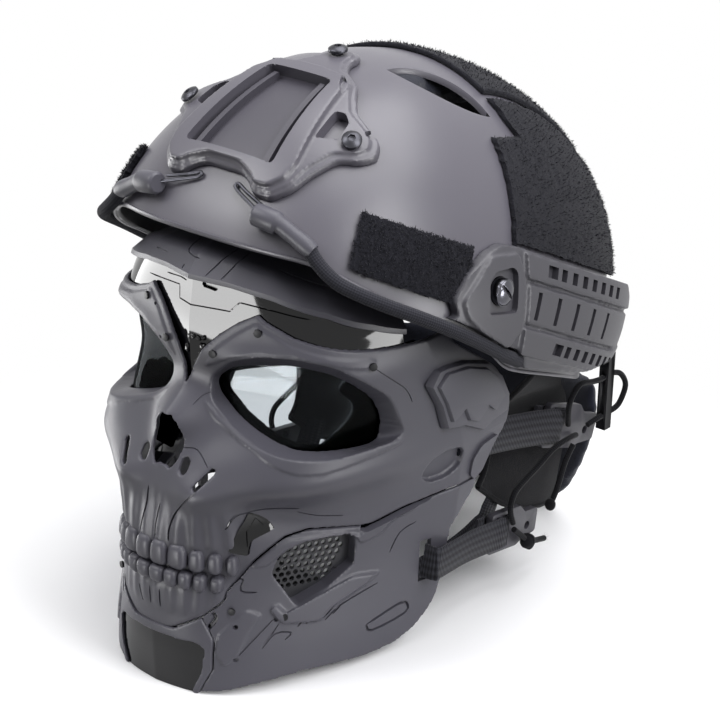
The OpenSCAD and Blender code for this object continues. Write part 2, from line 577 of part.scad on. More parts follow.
// The guard stands this much prouder than the skull
guard_lift = 0.6;
chin_edge = [[0, 30], [13, 35], [26, 43], [31, 31], [31, 14], [25, 0]];
jaw_outline = [[-190, -5], [-164, 0], [-150, 2], [-137, 5], [-114, 7], [-98, 6], [-76, 4.5], [-58, 6], [-46, 11],
               [-38, 18], [-33, 25], [-30, 34], [-29, 46], [-26, 66], [-9, 84], [-9, 100], [-190, 100]];
mesh_at = arch(57, 62, 0);
mesh_az = 65.7;
mesh_outline = [[-16, 17], [14, 18], [24, 9], [24, -1], [10, -14], [-8, -18], [-19, -9], [-22, 4]];
module on_cheek() { translate(mesh_at) rotate([0, 0, mesh_az]) rotate([90, 0, 0]) children(); }
module guard_region() {
    offset(delta = -part_gap) polygon(concat([for (p = guard_line) if (p.x > 25) p],
        [[100, -8], [24, -8]], [for (i = [len(chin_edge) - 1:-1:2]) chin_edge[i]]));
}
module cheek_guard(side) {
    ts = concat(even(0.2, 0.8, 6), [0.88, 0.94, 0.98, 1, 1.4, 1.9]);
    color(face_grey) mirrored(side) mesh_collar();
    color(face_grey) mirrored(side) difference() {
        intersection() {
            face_sheet(ts, even(-2, 92, 9), guard_lift, mask_wall, 1);
            from_front(20, 220) guard_region();
            from_side(0, 120) polygon(jaw_outline);
        }
        on_cheek() translate([0, 0, -20]) linear_extrude(40) polygon(mesh_outline);
        for (i = [0:4]) guard_rib(i);
        strap_slot();
    }
}
// Frame that leads in from the guard to the mesh
module mesh_collar() {
    intersection() {
        face_sheet(even(0.3, 0.98, 8), even(34, 88, 5), guard_lift, mesh_inset + 4, 1);
        from_front(20, 220) guard_region();
        on_cheek() translate([0, 0, -30]) linear_extrude(60) difference() {
            offset(delta = 2) polygon(mesh_outline);
            polygon(mesh_outline);
        }
    }
}
// Short raked slot pressed under the mesh
module guard_rib(i) {
    on_cheek() translate([0, 0, -20]) linear_extrude(40) hull()
        for (e = [-1, 1]) translate([2 + 4.6 * i + e * 1.6, -31 + 0.8 * i + e * 3]) circle(0.9, $fn = 10);
}
module strap_slot() {
    translate([80, slot_at.y + 0.6, slot_at.z]) cube([40, 6.5, web_w + 2], center = true);
}
slot_at = [0, -42, 50];
module cheek_mesh(side) {
    color(web_black) mirrored(side) on_cheek() translate([0, 0, -mesh_inset]) difference() {
        linear_extrude(1.6) offset(delta = -seat / 2) polygon(mesh_outline);
        for (i = [-6:6], j = [-5:5]) {
            p = [(i + (abs(j) % 2) / 2) * mesh_pitch, j * mesh_pitch * sin(60)];
            if (p.x > -17 + p.y / 5 && p.x < 19 - abs(p.y - 4) / 2 && p.y < 14 && p.y > -13)
                translate([p.x, p.y, -1]) cylinder(4, r = mesh_hole_r, $fn = 6);
        }
    }
}
mesh_inset = 7;
module chin_insert() {
    color(gloss_black) intersection() {
        face_sheet(even(-0.5, 0.5, 10), [0, 7, 14, 21, 28, 36, 44], -0.4, mask_wall, 1);
        from_front(-100, 100) for (s = [-1, 1]) polygon([for (p = concat(chin_edge, [[0, 0]])) [s * p.x, p.y]]);
    }
}
module cheek_insert(side) {
    color(gloss_black) mirrored(side) slab(
        [for (i = [0:3]) [for (j = [0:2]) face_at(insert_t(i, j), 84 + 5 * i, -mask_wall - 3 * seat, 1)]],
        [for (i = [0:3]) [for (j = [0:2]) face_at(insert_t(i, j), 84 + 5 * i, -mask_wall - 3 * seat - 1.6, 1)]]);
}
function insert_t(i, j) = 0.41 + 0.02 * i + 0.05 * j;
module temple_plate(side) {
    x = cheek_half_w + 0.25 * (cheek_half_w - jaw_half_w) + 3 * seat;
    color(face_grey) mirrored(side) {
        from_side(x, 1.8) rounded(1.5) polygon([[-55, 147], [-54, 158], [-50, 163], [-41, 166], [-24, 160], [-2, 147],
                                                [-2, 140], [7, 125], [-6, 128], [-24, 136], [-46, 141]]);
        from_side(x + 1.8, 1.2) rounded(1) polygon([[-52, 148], [-51, 157], [-42, 162], [-34, 158], [-38, 142], [-45, 143]]);
    }
}

// Clear lens behind each eye, and the foam that meets the wearer
module lens(side) {
    color(lens_clear, 0.35) mirrored(side)
        face_sheet(cols(0.06, 1), even(124, 178, 6), -socket_deep - 4 * seat, lens_t, 0);
}
module face_foam() {
    gap = 2 * mask_wall + 2 * seat;
    color(pad_navy) {
        face_sheet(both(cols(0, 0.9)), even(184, 200, 2), -gap - seat, foam_t, 0);
        for (s = [-1, 1]) mirrored(s)
            face_sheet(cols(0.72, 0.99), even(100, 122, 3), -mask_wall - 5 * seat, foam_t, 1);
    }
}
mask_screw_r = 2;
module mask_screws() {
    color(metal_dark) for (s = [-1, 1]) mirrored(s) {
        for (p = [[15, 178], [36, 192], [81, 177]]) face_screw(p, mask_screw_r, 2 * seat);
        for (p = [[37, 47], [52, 40]]) face_screw(p, mask_screw_r * 0.9, guard_lift + 3 * seat);
    }
}
module face_screw(p, r, lift) {
    q = arch(p.x, p.y, lift);
    translate(q) rotate([0, 0, atan2(q.x, -(q.y + 40))]) rotate([90, 0, 0]) cylinder(1.2, r = r, $fn = 16);
}

// Mask straps: webbing over the front bar of a plastic buckle, then down its slot
buckle_t = 4;
module strap_frame(at, tilt) { translate(at) rotate([tilt, 0, 0]) children(); }
upper_at = [78.5, 90, 80.4];
upper_tilt = -19.4;
lower_at = [78.5, 39, 37.5];
lower_tilt = -8.2;
module buckle_plate(len, wide) {
    slot = wide - 4;
    translate([-buckle_t / 2, 0, 0]) rotate([90, 0, 90]) linear_extrude(buckle_t) difference() {
        rounded(2) polygon([[-len / 2, -wide / 2], [-len / 2, wide / 2], [len * 0.1, wide / 2], [len * 0.22, wide * 0.3],
            [len / 2, wide * 0.3], [len / 2, -wide * 0.3], [len * 0.22, -wide * 0.4], [len * 0.1, -wide / 2]]);
        translate([-len / 2 + 4, -slot / 2]) square([3, slot]);
        translate([-len / 2 + 12, -slot / 2]) square([5.6, slot]);
        translate([len * 0.3, -wide * 0.08]) circle(2.4, $fn = 20);
    }
}
module upper_buckle(side) {
    color(shell_grey) mirrored(side) strap_frame(upper_at, upper_tilt) buckle_plate(upper_len, web_w + 3);
}
module lower_buckle(side) {
    color(shell_grey) mirrored(side) strap_frame(lower_at, lower_tilt) buckle_plate(lower_len, web_w + 1);
}
upper_len = 52;
lower_len = 44;
// Last points of the webbing, in the buckle's frame: over the bar, down the slot, and back under
function over_bar(len) = [[buckle_t / 2 + web_t / 2 + 1.5 * seat, -len / 2 - 1, 0],
    [buckle_t / 2 + web_t / 2 + 1.5 * seat, -len / 2 + 11, 0], [buckle_t / 2, -len / 2 + 14.9, 0],
    [-buckle_t / 2, -len / 2 + 15.1, 0], [-buckle_t / 2 - web_t - seat, -len / 2 + 11.5, 0],
    [-buckle_t / 2 - web_t - seat, -len / 2 - 6, 0]];
function turn_x(p, a) = [p.x, p.y * cos(a) - p.z * sin(a), p.y * sin(a) + p.z * cos(a)];
module upper_web(side) {
    color(web_black) mirrored(side) ribbon(concat([[84, -14, 108], [83.4, 8, 104], [82, 40, 96]],
        [for (p = over_bar(upper_len)) upper_at + turn_x(p, upper_tilt)]), web_w - 1.8, web_t, [0, 0.3, 1]);
}
module lower_web(side) {
    color(web_black) mirrored(side) ribbon(concat([[80, -42, 50], [87, -41.5, 50], [88, -37, 49.6], [84, -8, 45.5]],
        [for (p = over_bar(lower_len)) lower_at + turn_x(p, lower_tilt)]), web_w - 3.8, web_t, [0, 0.2, 1]);
}
// Elastic cord: up to the rail's anchor and back, and laced down to the lower buckle with a stopper knot
lace_up = [[82.5, 84, 84], [86, 78, 96], [88, 77, 104], [88.5, 84, 110], [88, 98, 107], [87.5, 106, 105.5],
    [87.5, 112, 105.5], [87.5, 118, 105.5], [89, 124.5, 103], [90, 128.5, 95], [89, 124.5, 85], [87.5, 118, 82],
    [87.5, 112, 82], [87.5, 105, 82], [86, 98, 80]];
lace_down = [[82.8, 92, 75], [84.6, 82, 77], [84.6, 68, 76], [84, 54, 70], [84, 37, 64], [84.4, 31, 60], [84.6, 29, 53], [84.8, 32, 44]];
lace_knot = [[84.8, 33, 40], [85.6, 45, 29]];
lace_tail = [[85.6, 46, 28], [84, 56, 24], [83, 66, 21]];
lace_back = [[82.8, 90, 70], [82, 84, 61], [81, 79, 46], [80.5, 74, 38]];
module lace(side) {
    color(web_black) mirrored(side) {
        for (route = [lace_up, lace_down, lace_knot, lace_tail, lace_back]) cord(route, lace_d, [1, 0, 0]);
        translate(lace_tail[0]) sphere(lace_d * 1.4, $fn = 16);
        translate(lace_back[3]) sphere(lace_d, $fn = 16);
    }
}
module strap_anchor(side) {
    color(web_black) mirrored(side) difference() {
        union() {
            translate([anchor_at.x, anchor_at.y - anchor_w / 2, 74]) cube([anchor_w, anchor_w, anchor_at.z - 74]);
            translate(anchor_at - anchor_foot) cube(anchor_foot + [anchor_w, anchor_w / 2, 0]);
        }
        for (z = [82, 105.5]) translate([anchor_at.x + anchor_w / 2, anchor_at.y, z]) rotate([90, 0, 0])
            cylinder(2 * anchor_w, r = lace_d / 2 + 0.1, center = true, $fn = 16);
    }
}
// Where the anchor's foot meets the shell, over the back of the rim, and its post beside that
anchor_foot = [5, 12, 4];
anchor_at = in_rig(on_shell(143.92, -12.92, 0)) + [anchor_foot.x, anchor_foot.y, 0];
anchor_w = 6;

// Nape pad, its cradle with the fitting dial, and the chin strap with its buckle
function nape(x, z, off) = [x, 138 - x * x / 260 + 0.1 * z + off, z];
module nape_pad() {
    xs = even(-1, 1, 16);
    zs = [0, 3, 20, 40, 60, 82, 90];
    function wide(z) = 74 - 17 * pow(max(62 - z, 0) / 62, 1.6) - 4 * pow(max(z - 62, 0) / 28, 2);
    function swell(u, z) = nape_t / 2 * sqrt(1 - 0.85 * pow(abs(u), 6)) * (z > 88 ? 0.5 : 1);
    function foot(u, z) = z + (90 - z) / 90 * 19 * pow(max(abs(u) - 0.45, 0) / 0.55, 2);
    color(pad_navy) slab([for (u = xs) [for (z = zs) nape(u * wide(z), foot(u, z), swell(u, z))]],
                         [for (u = xs) [for (z = zs) nape(u * wide(z), foot(u, z), -swell(u, z))]]);
}
nape_t = 14;
dial_r = 15;
dial_z = 56;
dial_y = 138 + 0.1 * dial_z + nape_t / 2;
module nape_cradle() {
    xs = even(-52, 52, 10);
    zs = [34, 48, 62, 76];
    color(web_black) {
        slab([for (x = xs) [for (z = zs) nape(x, z, nape_t / 2 + seat + 2.2)]],
             [for (x = xs) [for (z = zs) nape(x, z, nape_t / 2 + seat)]]);
        for (s = [-1, 1]) mirrored(s) cradle_arm();
        translate([0, dial_y + 2, dial_z]) rotate([-90, 0, 0]) difference() {
            cylinder(5, r = dial_r + 3, $fn = 48);
            translate([0, 0, 1.5]) cylinder(5, r = dial_r - 8, $fn = 48);
        }
    }
}
// Arm of the cradle: over the top of the nape pad, under the rim and up inside the shell
module cradle_arm() {
    xs = even(26, 40, 3);
    low = [[152.6, 70], [152.6, 84], [150, 93.4], [138, 96], [122, 97]];
    function row(x, k) = concat([for (p = low) [x, p.x - x * x / 260 + 3 - k * (p.y < 93 ? arm_t : 0), p.y - k * (p.y > 91 ? arm_t : 0)]],
        [for (z = [-42, -34, -22, -8]) let (p = shell_front(x, z, pad_off - (1 - k) * arm_t)) in_rig([x, -p.y, p.z])]);
    slab([for (x = xs) row(x, 0)], [for (x = xs) row(x, 1)]);
}
arm_t = 2.2;
module dial_knob() {
    color(metal_dark) translate([0, dial_y + 7.3, dial_z]) rotate([-90, 0, 0]) {
        translate([0, 0, -3.4]) cylinder(3.5, r = dial_r - 8 - 0.05, $fn = 48);
        difference() {
            cylinder(7.2, r = dial_r, $fn = 48);
            for (i = [0:11]) rotate(30 * i) translate([dial_r + 1, 0, -1]) cylinder(10, r = 2.4, $fn = 16);
        }
    }
}
buckle_y = -61;
buckle_z = 13;
strap_path = [[64.4, 44, 56], [64, 38, 44], [63, 30, 34], [58, 8, 24], [48, -18, 16], [38, -44, 13.5], [30, -58, 13], [23.8, buckle_y, buckle_z]];
module chin_strap(side) {
    color(web_black) mirrored(side) {
        slab([for (r = yoke) [for (q = r) q + yoke_t / 2 * unit([q.x, q.y / 2, 0])]],
             [for (r = yoke) [for (q = r) q - yoke_t / 2 * unit([q.x, q.y / 2, 0])]]);
        ribbon(strap_path, chin_web_w, web_t, [0.1, 0.1, 1]);
    }
}
yoke_t = 2.2;
yoke = concat([[[66, 24, 63], [66, 51, 42], [66, 80, 30], [64, 100, 26]], [[66, 30, 72], [67, 54, 58], [67, 80, 50], [65, 102, 44]],
               [[67, 32, 90], [68, 56, 84], [68, 82, 78], [67, 104, 72]], [[71, 31, 108], [71, 56, 106], [71, 80, 101], [68, 100, 92]],
               [[84, 26, 122], [83, 48, 118], [78, 70, 112], [71, 90, 106]]],
              [for (el = [-13, -5, 4]) [for (az = [102, 113, 124, 134]) in_rig(on_shell(az, el, pad_off - yoke_t / 2))]]);
// The buckle stands on edge, as the strap does; the plug's two prongs snap into the socket
module buckle_socket() {
    color(web_black) translate([12, buckle_y, buckle_z]) difference() {
        cube([22, 9, 24], center = true);
        translate([-2, 0, 0]) cube([22, 5, 18], center = true);
    }
}
module buckle_plug() {
    color(web_black) translate([0, buckle_y, buckle_z]) {
        translate([-13, 0, 0]) cube([20, 9, 24], center = true);
        for (e = [-1, 1]) translate([6, 0, e * 6.5]) cube([19, 4, 3.4], center = true);
    }
}

helmet_shell();
mount_shroud();
shroud_plate();
shroud_screws();
rail(1);  // rail_left
rail(-1);  // rail_right
rail_bolts();
side_patch(1);  // side_patch_left
side_patch(-1);  // side_patch_right
rear_patch(1);  // rear_patch_left
rear_patch(-1);  // rear_patch_right
crown_patch();
bungee(1);  // bungee_left
bungee(-1);  // bungee_right
bungee_hook(1);  // bungee_hook_left
bungee_hook(-1);  // bungee_hook_right
crown_pad();
front_pad();
side_pad(1);  // side_pad_left
side_pad(-1);  // side_pad_right
nape_cradle();
nape_pad();
dial_knob();
chin_strap(1);  // chin_strap_left
chin_strap(-1);  // chin_strap_right
buckle_socket();
buckle_plug();
strap_anchor(1);  // strap_anchor_left
strap_anchor(-1);  // strap_anchor_right
skull_face();
forehead_panel();
brow_cap();
chin_insert();
cheek_guard(1);  // cheek_guard_left
cheek_guard(-1);  // cheek_guard_right
cheek_mesh(1);  // cheek_mesh_left
cheek_mesh(-1);  // cheek_mesh_right
cheek_insert(1);  // cheek_insert_left
cheek_insert(-1);  // cheek_insert_right
temple_plate(1);  // temple_plate_left
temple_plate(-1);  // temple_plate_right
lens(1);  // lens_left
lens(-1);  // lens_right
face_foam();
mask_screws();
upper_web(1);  // upper_web_left
upper_web(-1);  // upper_web_right
lower_web(1);  // lower_web_left
lower_web(-1);  // lower_web_right
upper_buckle(1);  // upper_buckle_left
upper_buckle(-1);  // upper_buckle_right
lower_buckle(1);  // lower_buckle_left
lower_buckle(-1);  // lower_buckle_right
lace(1);  // lace_left
lace(-1);  // lace_right
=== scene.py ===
# %% [markdown]
# # A helmet with a skull face mask
# This scene dresses a packed construction model in its real shapes and finishes. The rig is a hard helmet
# with side rails, and a moulded skull mask that hangs under its brim on webbing and elastic cord. Each cell
# names a piece as its maker would, says how it could be built in Blender, and then builds it.

# %% Load the construction model
import bpy
import bmesh
import json
import math
import random
from mathutils import Matrix, Vector, noise

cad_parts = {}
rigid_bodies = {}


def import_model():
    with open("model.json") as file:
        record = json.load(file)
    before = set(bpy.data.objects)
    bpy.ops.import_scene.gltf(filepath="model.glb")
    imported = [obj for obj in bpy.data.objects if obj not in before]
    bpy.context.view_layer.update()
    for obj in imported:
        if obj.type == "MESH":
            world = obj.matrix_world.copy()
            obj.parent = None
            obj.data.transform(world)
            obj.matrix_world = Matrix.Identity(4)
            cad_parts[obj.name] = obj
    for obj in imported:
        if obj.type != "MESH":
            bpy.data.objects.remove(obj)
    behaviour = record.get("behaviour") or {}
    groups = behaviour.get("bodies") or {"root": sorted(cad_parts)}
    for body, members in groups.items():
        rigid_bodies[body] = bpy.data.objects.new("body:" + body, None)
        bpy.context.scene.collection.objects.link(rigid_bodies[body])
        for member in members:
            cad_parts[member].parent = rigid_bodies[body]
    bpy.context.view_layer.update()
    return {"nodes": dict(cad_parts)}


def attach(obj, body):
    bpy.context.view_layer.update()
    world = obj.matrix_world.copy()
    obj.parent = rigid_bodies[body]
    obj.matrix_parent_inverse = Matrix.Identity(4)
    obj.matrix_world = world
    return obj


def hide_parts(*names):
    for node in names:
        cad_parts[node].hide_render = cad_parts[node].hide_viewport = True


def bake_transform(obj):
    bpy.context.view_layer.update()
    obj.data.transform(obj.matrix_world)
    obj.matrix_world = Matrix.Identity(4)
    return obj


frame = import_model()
random.seed(7)

# %% [markdown]
# ## Camera
# The camera stands where the photograph was taken: in front, to the wearer's left and a little above. A
# long lens from far away keeps the shapes true, so the camera is built from a direction, a distance and a
# focal length.

# %% Camera
def camera(azimuth, elevation, roll, distance, lens, aim):
    az, el, r = math.radians(azimuth), math.radians(elevation), math.radians(roll)
    back = Vector((math.sin(az) * math.cos(el), -math.cos(az) * math.cos(el), math.sin(el)))
    right = Vector((math.cos(az), math.sin(az), 0))
    up = back.cross(right)
    place = Vector((0, 0, 0.16)) + right * aim[0] + up * aim[1] + back * distance
    turned = right * math.cos(r) - up * math.sin(r), right * math.sin(r) + up * math.cos(r)
    bpy.ops.object.camera_add()
    cam = bpy.context.object
    cam.matrix_world = Matrix((turned[0], turned[1], back)).transposed().to_4x4()
    cam.location = place
    cam.data.lens = lens
    cam.data.sensor_width = 36
    cam.data.clip_start = 0.05
    bpy.context.scene.camera = cam
camera(38.0, 23.8, -1.6, 1.334, 125.4, (0.0013, -0.031))

# %% [markdown]
# ## Light and floor
# Product photographs of dark plastic use a white cove and large soft boxes: the plastic itself is nearly
# black, and its shape is told by the pale reflections. Three soft boxes overhead do that here, and three
# low cards are there for the gloss panels alone. The floor is a disc that fades into the white backdrop, so
# it still takes the soft shadow under the chin.

# %% Node helper and colours
def node(tree, kind, inputs=None, **settings):
    made = tree.nodes.new(kind)
    for key, value in settings.items():
        setattr(made, key, value)
    for key, value in (inputs or {}).items():
        if isinstance(value, bpy.types.NodeSocket):
            tree.links.new(value, made.inputs[key])
        else:
            made.inputs[key].default_value = value
    return made

def blank_material(name):
    made = bpy.data.materials.new(name)
    made.use_nodes = True
    made.node_tree.nodes.clear()
    return made, made.node_tree

def shade(code):
    parts = [int(code[i:i + 2], 16) / 255 for i in (1, 3, 5)]
    return [p / 12.92 if p <= 0.04045 else ((p + 0.055) / 1.055) ** 2.4 for p in parts] + [1]

# %% Lamps, world and floor
def softbox(name, place, aim, size, watts):
    bpy.ops.object.light_add(type="AREA", location=place)
    lamp = bpy.context.object
    lamp.name = name
    lamp.data.shape = "RECTANGLE"
    lamp.data.size, lamp.data.size_y = size
    lamp.data.energy = watts
    lamp.visible_camera = False
    lamp.rotation_euler = (Vector(aim) - Vector(place)).to_track_quat("-Z", "Y").to_euler()
MIDDLE = (0, 0, 0.17)
softbox("key", (-0.85, -0.95, 1.6), MIDDLE, (0.9, 0.9), 23)
softbox("side", (1.35, -0.1, 1.2), MIDDLE, (0.9, 1.1), 27)
softbox("top", (0.15, 0.35, 1.6), MIDDLE, (1.3, 1.3), 28)

def reflector(name, place, size, watts):
    """A low pale card that only shows as a reflection in the gloss forehead and chin."""
    softbox(name, place, (0, -0.1, 0.2), size, watts)
    bpy.context.object.visible_diffuse = False
reflector("card left", (-1.16, -0.29, -0.08), (0.7, 0.6), 9)
reflector("card front", (-0.1, -1.2, -0.08), (0.36, 0.5), 10)
reflector("card right", (1.17, 0.1, 0.05), (0.5, 0.4), 8)

world = bpy.data.worlds.new("studio")
bpy.context.scene.world = world
world.use_nodes = True
w = world.node_tree
w.nodes.clear()
path = node(w, "ShaderNodeLightPath")
clear_view = node(w, "ShaderNodeMath", {0: path.outputs["Is Camera Ray"],
                                        1: path.outputs["Is Transmission Ray"]}, operation="MAXIMUM")
seen = node(w, "ShaderNodeMath", {0: clear_view.outputs[0], 1: path.outputs["Is Glossy Ray"]},
            operation="MAXIMUM")
dim = node(w, "ShaderNodeBackground", {"Color": shade("#f2f3f6"), "Strength": 0.17})
white = node(w, "ShaderNodeBackground", {"Color": (1, 1, 1, 1), "Strength": 1.0})
both_skies = node(w, "ShaderNodeMixShader", {0: seen.outputs[0], 1: dim.outputs[0], 2: white.outputs[0]})
node(w, "ShaderNodeOutputWorld", {"Surface": both_skies.outputs[0]})

bpy.ops.object.select_all(action="DESELECT")
bpy.ops.mesh.primitive_circle_add(vertices=96, radius=1.2, fill_type="NGON", location=(0, 0, -0.0003))
floor = bpy.context.object
floor.name = "floor"
cove, t = blank_material("painted_cove")
spot = node(t, "ShaderNodeTexCoord")
far = node(t, "ShaderNodeVectorMath", {0: spot.outputs["Object"]}, operation="LENGTH")
fade = node(t, "ShaderNodeMapRange", {"Value": far.outputs["Value"], "From Min": 0.1, "From Max": 0.34},
            interpolation_type="SMOOTHSTEP")
paint = node(t, "ShaderNodeBsdfDiffuse", {"Color": shade("#f4f4f6")})
clear = node(t, "ShaderNodeBsdfTransparent")
ground = node(t, "ShaderNodeMixShader", {0: fade.outputs[0], 1: paint.outputs[0], 2: clear.outputs[0]})
node(t, "ShaderNodeOutputMaterial", {"Surface": ground.outputs[0]})
floor.data.materials.append(cove)

# %% [markdown]
# ## Finishes
# Everything here is dark, so the finishes differ by gloss and grain. The shell is moulded nylon with a
# satin skin, the face is matt ABS, and the forehead and chin are polished ABS that mirror the soft boxes.
# Each material reads Object coordinates in metres, so a grain of 0.4 mm is a noise scale of 2500.

# %% Moulded plastics
def plastic(name, code, rough, grain, depth, index=1.45, mottled=0.05):
    made, t = blank_material(name)
    at = node(t, "ShaderNodeTexCoord").outputs["Object"]
    cloud = node(t, "ShaderNodeTexNoise", {"Vector": at, "Scale": 28.0, "Detail": 3.0})
    base = Vector(shade(code)[:3])
    low, high = [*(base * (1 - mottled)), 1], [*(base * (1 + mottled)), 1]
    tone = node(t, "ShaderNodeMix", {0: cloud.outputs[0], 6: low, 7: high}, data_type="RGBA")
    rub = node(t, "ShaderNodeMapRange", {"Value": cloud.outputs[0], "To Min": rough - 0.03, "To Max": rough
                                         + 0.04})
    skin = node(t, "ShaderNodeTexNoise", {"Vector": at, "Scale": grain, "Detail": 2.0})
    bump = node(t, "ShaderNodeBump", {"Height": skin.outputs[0], "Strength": depth, "Distance": 0.0002})
    body = node(t, "ShaderNodeBsdfPrincipled", {"Base Color": tone.outputs[2], "Roughness": rub.outputs[0],
                                                "Normal": bump.outputs[0], "IOR": index})
    node(t, "ShaderNodeOutputMaterial", {"Surface": body.outputs[0]})
    return made
satin_nylon = plastic("satin_moulded_nylon", "#535159", 0.33, 2500.0, 0.2)
# The window's floor plate is the shroud's nylon, made darker to paint the shade that falls in its deep
# window; its deeper grain bump is real.
painted_shade_nylon = plastic("grained_nylon_painted_shade", "#3c3a42", 0.45, 2500.0, 0.4)
rail_nylon = plastic("matt_moulded_nylon", "#3b3a40", 0.42, 2500.0, 0.3)
matt_abs = plastic("matt_moulded_abs", "#48474f", 0.4, 2500.0, 0.25, 1.36)
polished_abs = plastic("polished_abs", "#050507", 0.05, 400.0, 0.02, 1.4)
black_nylon = plastic("black_nylon", "#151518", 0.45, 1800.0, 0.3, 1.3)
mesh_abs = plastic("mesh_abs", "#2c2c30", 0.45, 2500.0, 0.3, 1.35)

# %% Metals: blackened screws and hooks, and the plated bolts of the rails
def metal(name, code, rough):
    made, t = blank_material(name)
    at = node(t, "ShaderNodeTexCoord").outputs["Object"]
    marks = node(t, "ShaderNodeTexNoise", {"Vector": at, "Scale": 900.0, "Detail": 4.0})
    worn = node(t, "ShaderNodeMapRange", {"Value": marks.outputs[0], "To Min": rough * 0.7, "To Max": rough
                                          * 1.4})
    body = node(t, "ShaderNodeBsdfPrincipled", {"Base Color": shade(code), "Metallic": 1.0,
                                                "Roughness": worn.outputs[0]})
    node(t, "ShaderNodeOutputMaterial", {"Surface": body.outputs[0]})
    return made
black_steel = metal("blackened_steel", "#404045", 0.35)
bright_steel = metal("nickel_plated_steel", "#5a5a60", 0.2)

# %% [markdown]
# Cloth needs a pattern that follows the piece. A tape or a cord carries a UV map in millimetres, across and
# along, so ribs of webbing 1.6 mm apart and the slanted plaits of a braid can be drawn as waves in it. Loop
# pile has no thread lines at this distance: it is a coarse noise with a soft sheen on top.

# %% Cloths
RIB, TAPE_ROW, PLAIT = 1.6, 4.0, 2.6
def math_node(tree, operation, *values):
    return node(tree, "ShaderNodeMath", dict(enumerate(values)), operation=operation).outputs[0]

def cloth(name, code, kind, sheen=0.3):
    made, t = blank_material(name)
    where = node(t, "ShaderNodeTexCoord")
    base = Vector(shade(code)[:3])
    if kind in ("pile", "padding"):
        size, detail, rough = (1100.0, 4.0, 0.75) if kind == "pile" else (1500.0, 2.0, 0.5)
        loops = node(t, "ShaderNodeTexNoise", {"Vector": where.outputs["Object"], "Scale": size,
                                               "Detail": detail, "Roughness": rough})
        height = loops.outputs[0]
    else:
        split = node(t, "ShaderNodeSeparateXYZ", {0: where.outputs["UV"]})
        run, round_it = split.outputs["X"], split.outputs["Y"]
        if kind == "webbing":
            across = math_node(t, "MULTIPLY", run, 2 * math.pi / RIB)
            along = math_node(t, "MULTIPLY", round_it, 2 * math.pi / TAPE_ROW)
        else:
            across = math_node(t, "MULTIPLY", math_node(t, "ADD", run, round_it), 2 * math.pi / PLAIT)
            along = math_node(t, "MULTIPLY", math_node(t, "SUBTRACT", run, round_it), 2 * math.pi / PLAIT)
        waves = math_node(t, "SINE", across), math_node(t, "SINE", along)
        mixed = math_node(t, "ADD" if kind == "webbing" else "MULTIPLY", *waves)
        height = node(t, "ShaderNodeMapRange", {"Value": mixed, "From Min": -1.6, "From Max": 1.6}).outputs[0]
    dark, pale = (0.1, 2.6) if kind == "pile" else (0.45, 1.55)
    tone = node(t, "ShaderNodeMix", {0: height, 6: [*(base * dark), 1], 7: [*(base * pale), 1]},
                data_type="RGBA")
    bump = node(t, "ShaderNodeBump", {"Height": height, "Strength": 0.8, "Distance": 0.0005})
    body = node(t, "ShaderNodeBsdfPrincipled", {"Base Color": tone.outputs[2], "Roughness": 0.92,
                                                "Normal": bump.outputs[0], "IOR": 1.15,
                                                "Sheen Weight": sheen, "Sheen Roughness": 0.5})
    node(t, "ShaderNodeOutputMaterial", {"Surface": body.outputs[0]})
    return made
loop_pile = cloth("loop_pile", "#18181d", "pile", 0.1)
webbing = cloth("polypropylene_webbing", "#2b2b30", "webbing", 0.1)
braid = cloth("braided_elastic", "#2c2c32", "braid", 0.1)
fine_cord = cloth("elastic_lace", "#151518", "braid", 0.1)
navy_cloth = cloth("brushed_navy_cloth", "#1b1d28", "padding", 0.25)
felt = cloth("black_felt", "#131316", "padding", 0.1)
foam = cloth("open_foam", "#121214", "padding", 0.1)

# %% Clear lens: thin moulded polycarbonate, seen mostly by what it mirrors
lens_clear, t = blank_material("clear_polycarbonate")
gleam = node(t, "ShaderNodeFresnel", {"IOR": 1.58})
through = node(t, "ShaderNodeBsdfTransparent", {"Color": shade("#dfe3e5")})
mirror = node(t, "ShaderNodeBsdfGlossy", {"Color": shade("#505254"), "Roughness": 0.02})
pane = node(t, "ShaderNodeMixShader", {0: gleam.outputs[0], 1: through.outputs[0], 2: mirror.outputs[0]})
node(t, "ShaderNodeOutputMaterial", {"Surface": pane.outputs[0]})

# %% [markdown]
# ## The two surfaces everything follows
# The helmet is a rounded dome and the face is a stack of rows, each with a reach, a slope and a squareness.
# Both are written as functions, in millimetres, because nearly every piece lies on one of them at some
# lift. A piece is then a patch of the surface, cut to its outline, and that keeps neighbours in step.

# %% The helmet's dome
HALF_W, HALF_L, RISE, SQUARE, WALL = 111.5, 145.0, 122.0, 2.5, 3.2
TILT, DOME_Z = math.radians(12.3), 173.5

def rig(p):
    return Vector((p[0], p[1] * math.cos(TILT) + p[2] * math.sin(TILT), p[2] * math.cos(TILT) - p[1]
                   * math.sin(TILT) + DOME_Z))

def in_dome(x, y, z, lift):
    plan = (abs(x / (HALF_W + lift)) ** SQUARE + abs(y / (HALF_L + lift)) ** SQUARE) ** (1 / SQUARE)
    return math.hypot(plan, z / (RISE + lift))

def dome(az, el, lift):
    a, e = math.radians(az), math.radians(el)
    d = Vector((math.sin(a) * math.cos(e), -math.cos(a) * math.cos(e), math.sin(e)))
    return rig(d / in_dome(*d, lift))

def dome_side(y, z, lift):
    room = max(1 - (z / (RISE + lift)) ** 2, 0) ** (SQUARE / 2)
    return rig(((HALF_W + lift) * max(room - abs(y / (HALF_L + lift)) ** SQUARE, 0) ** (1 / SQUARE), y, z))

def dome_top(x, y, lift):
    plan = abs(x / (HALF_W + lift)) ** SQUARE + abs(y / (HALF_L + lift)) ** SQUARE
    return rig((x, y, (RISE + lift) * math.sqrt(max(1 - plan ** (2 / SQUARE), 0))))

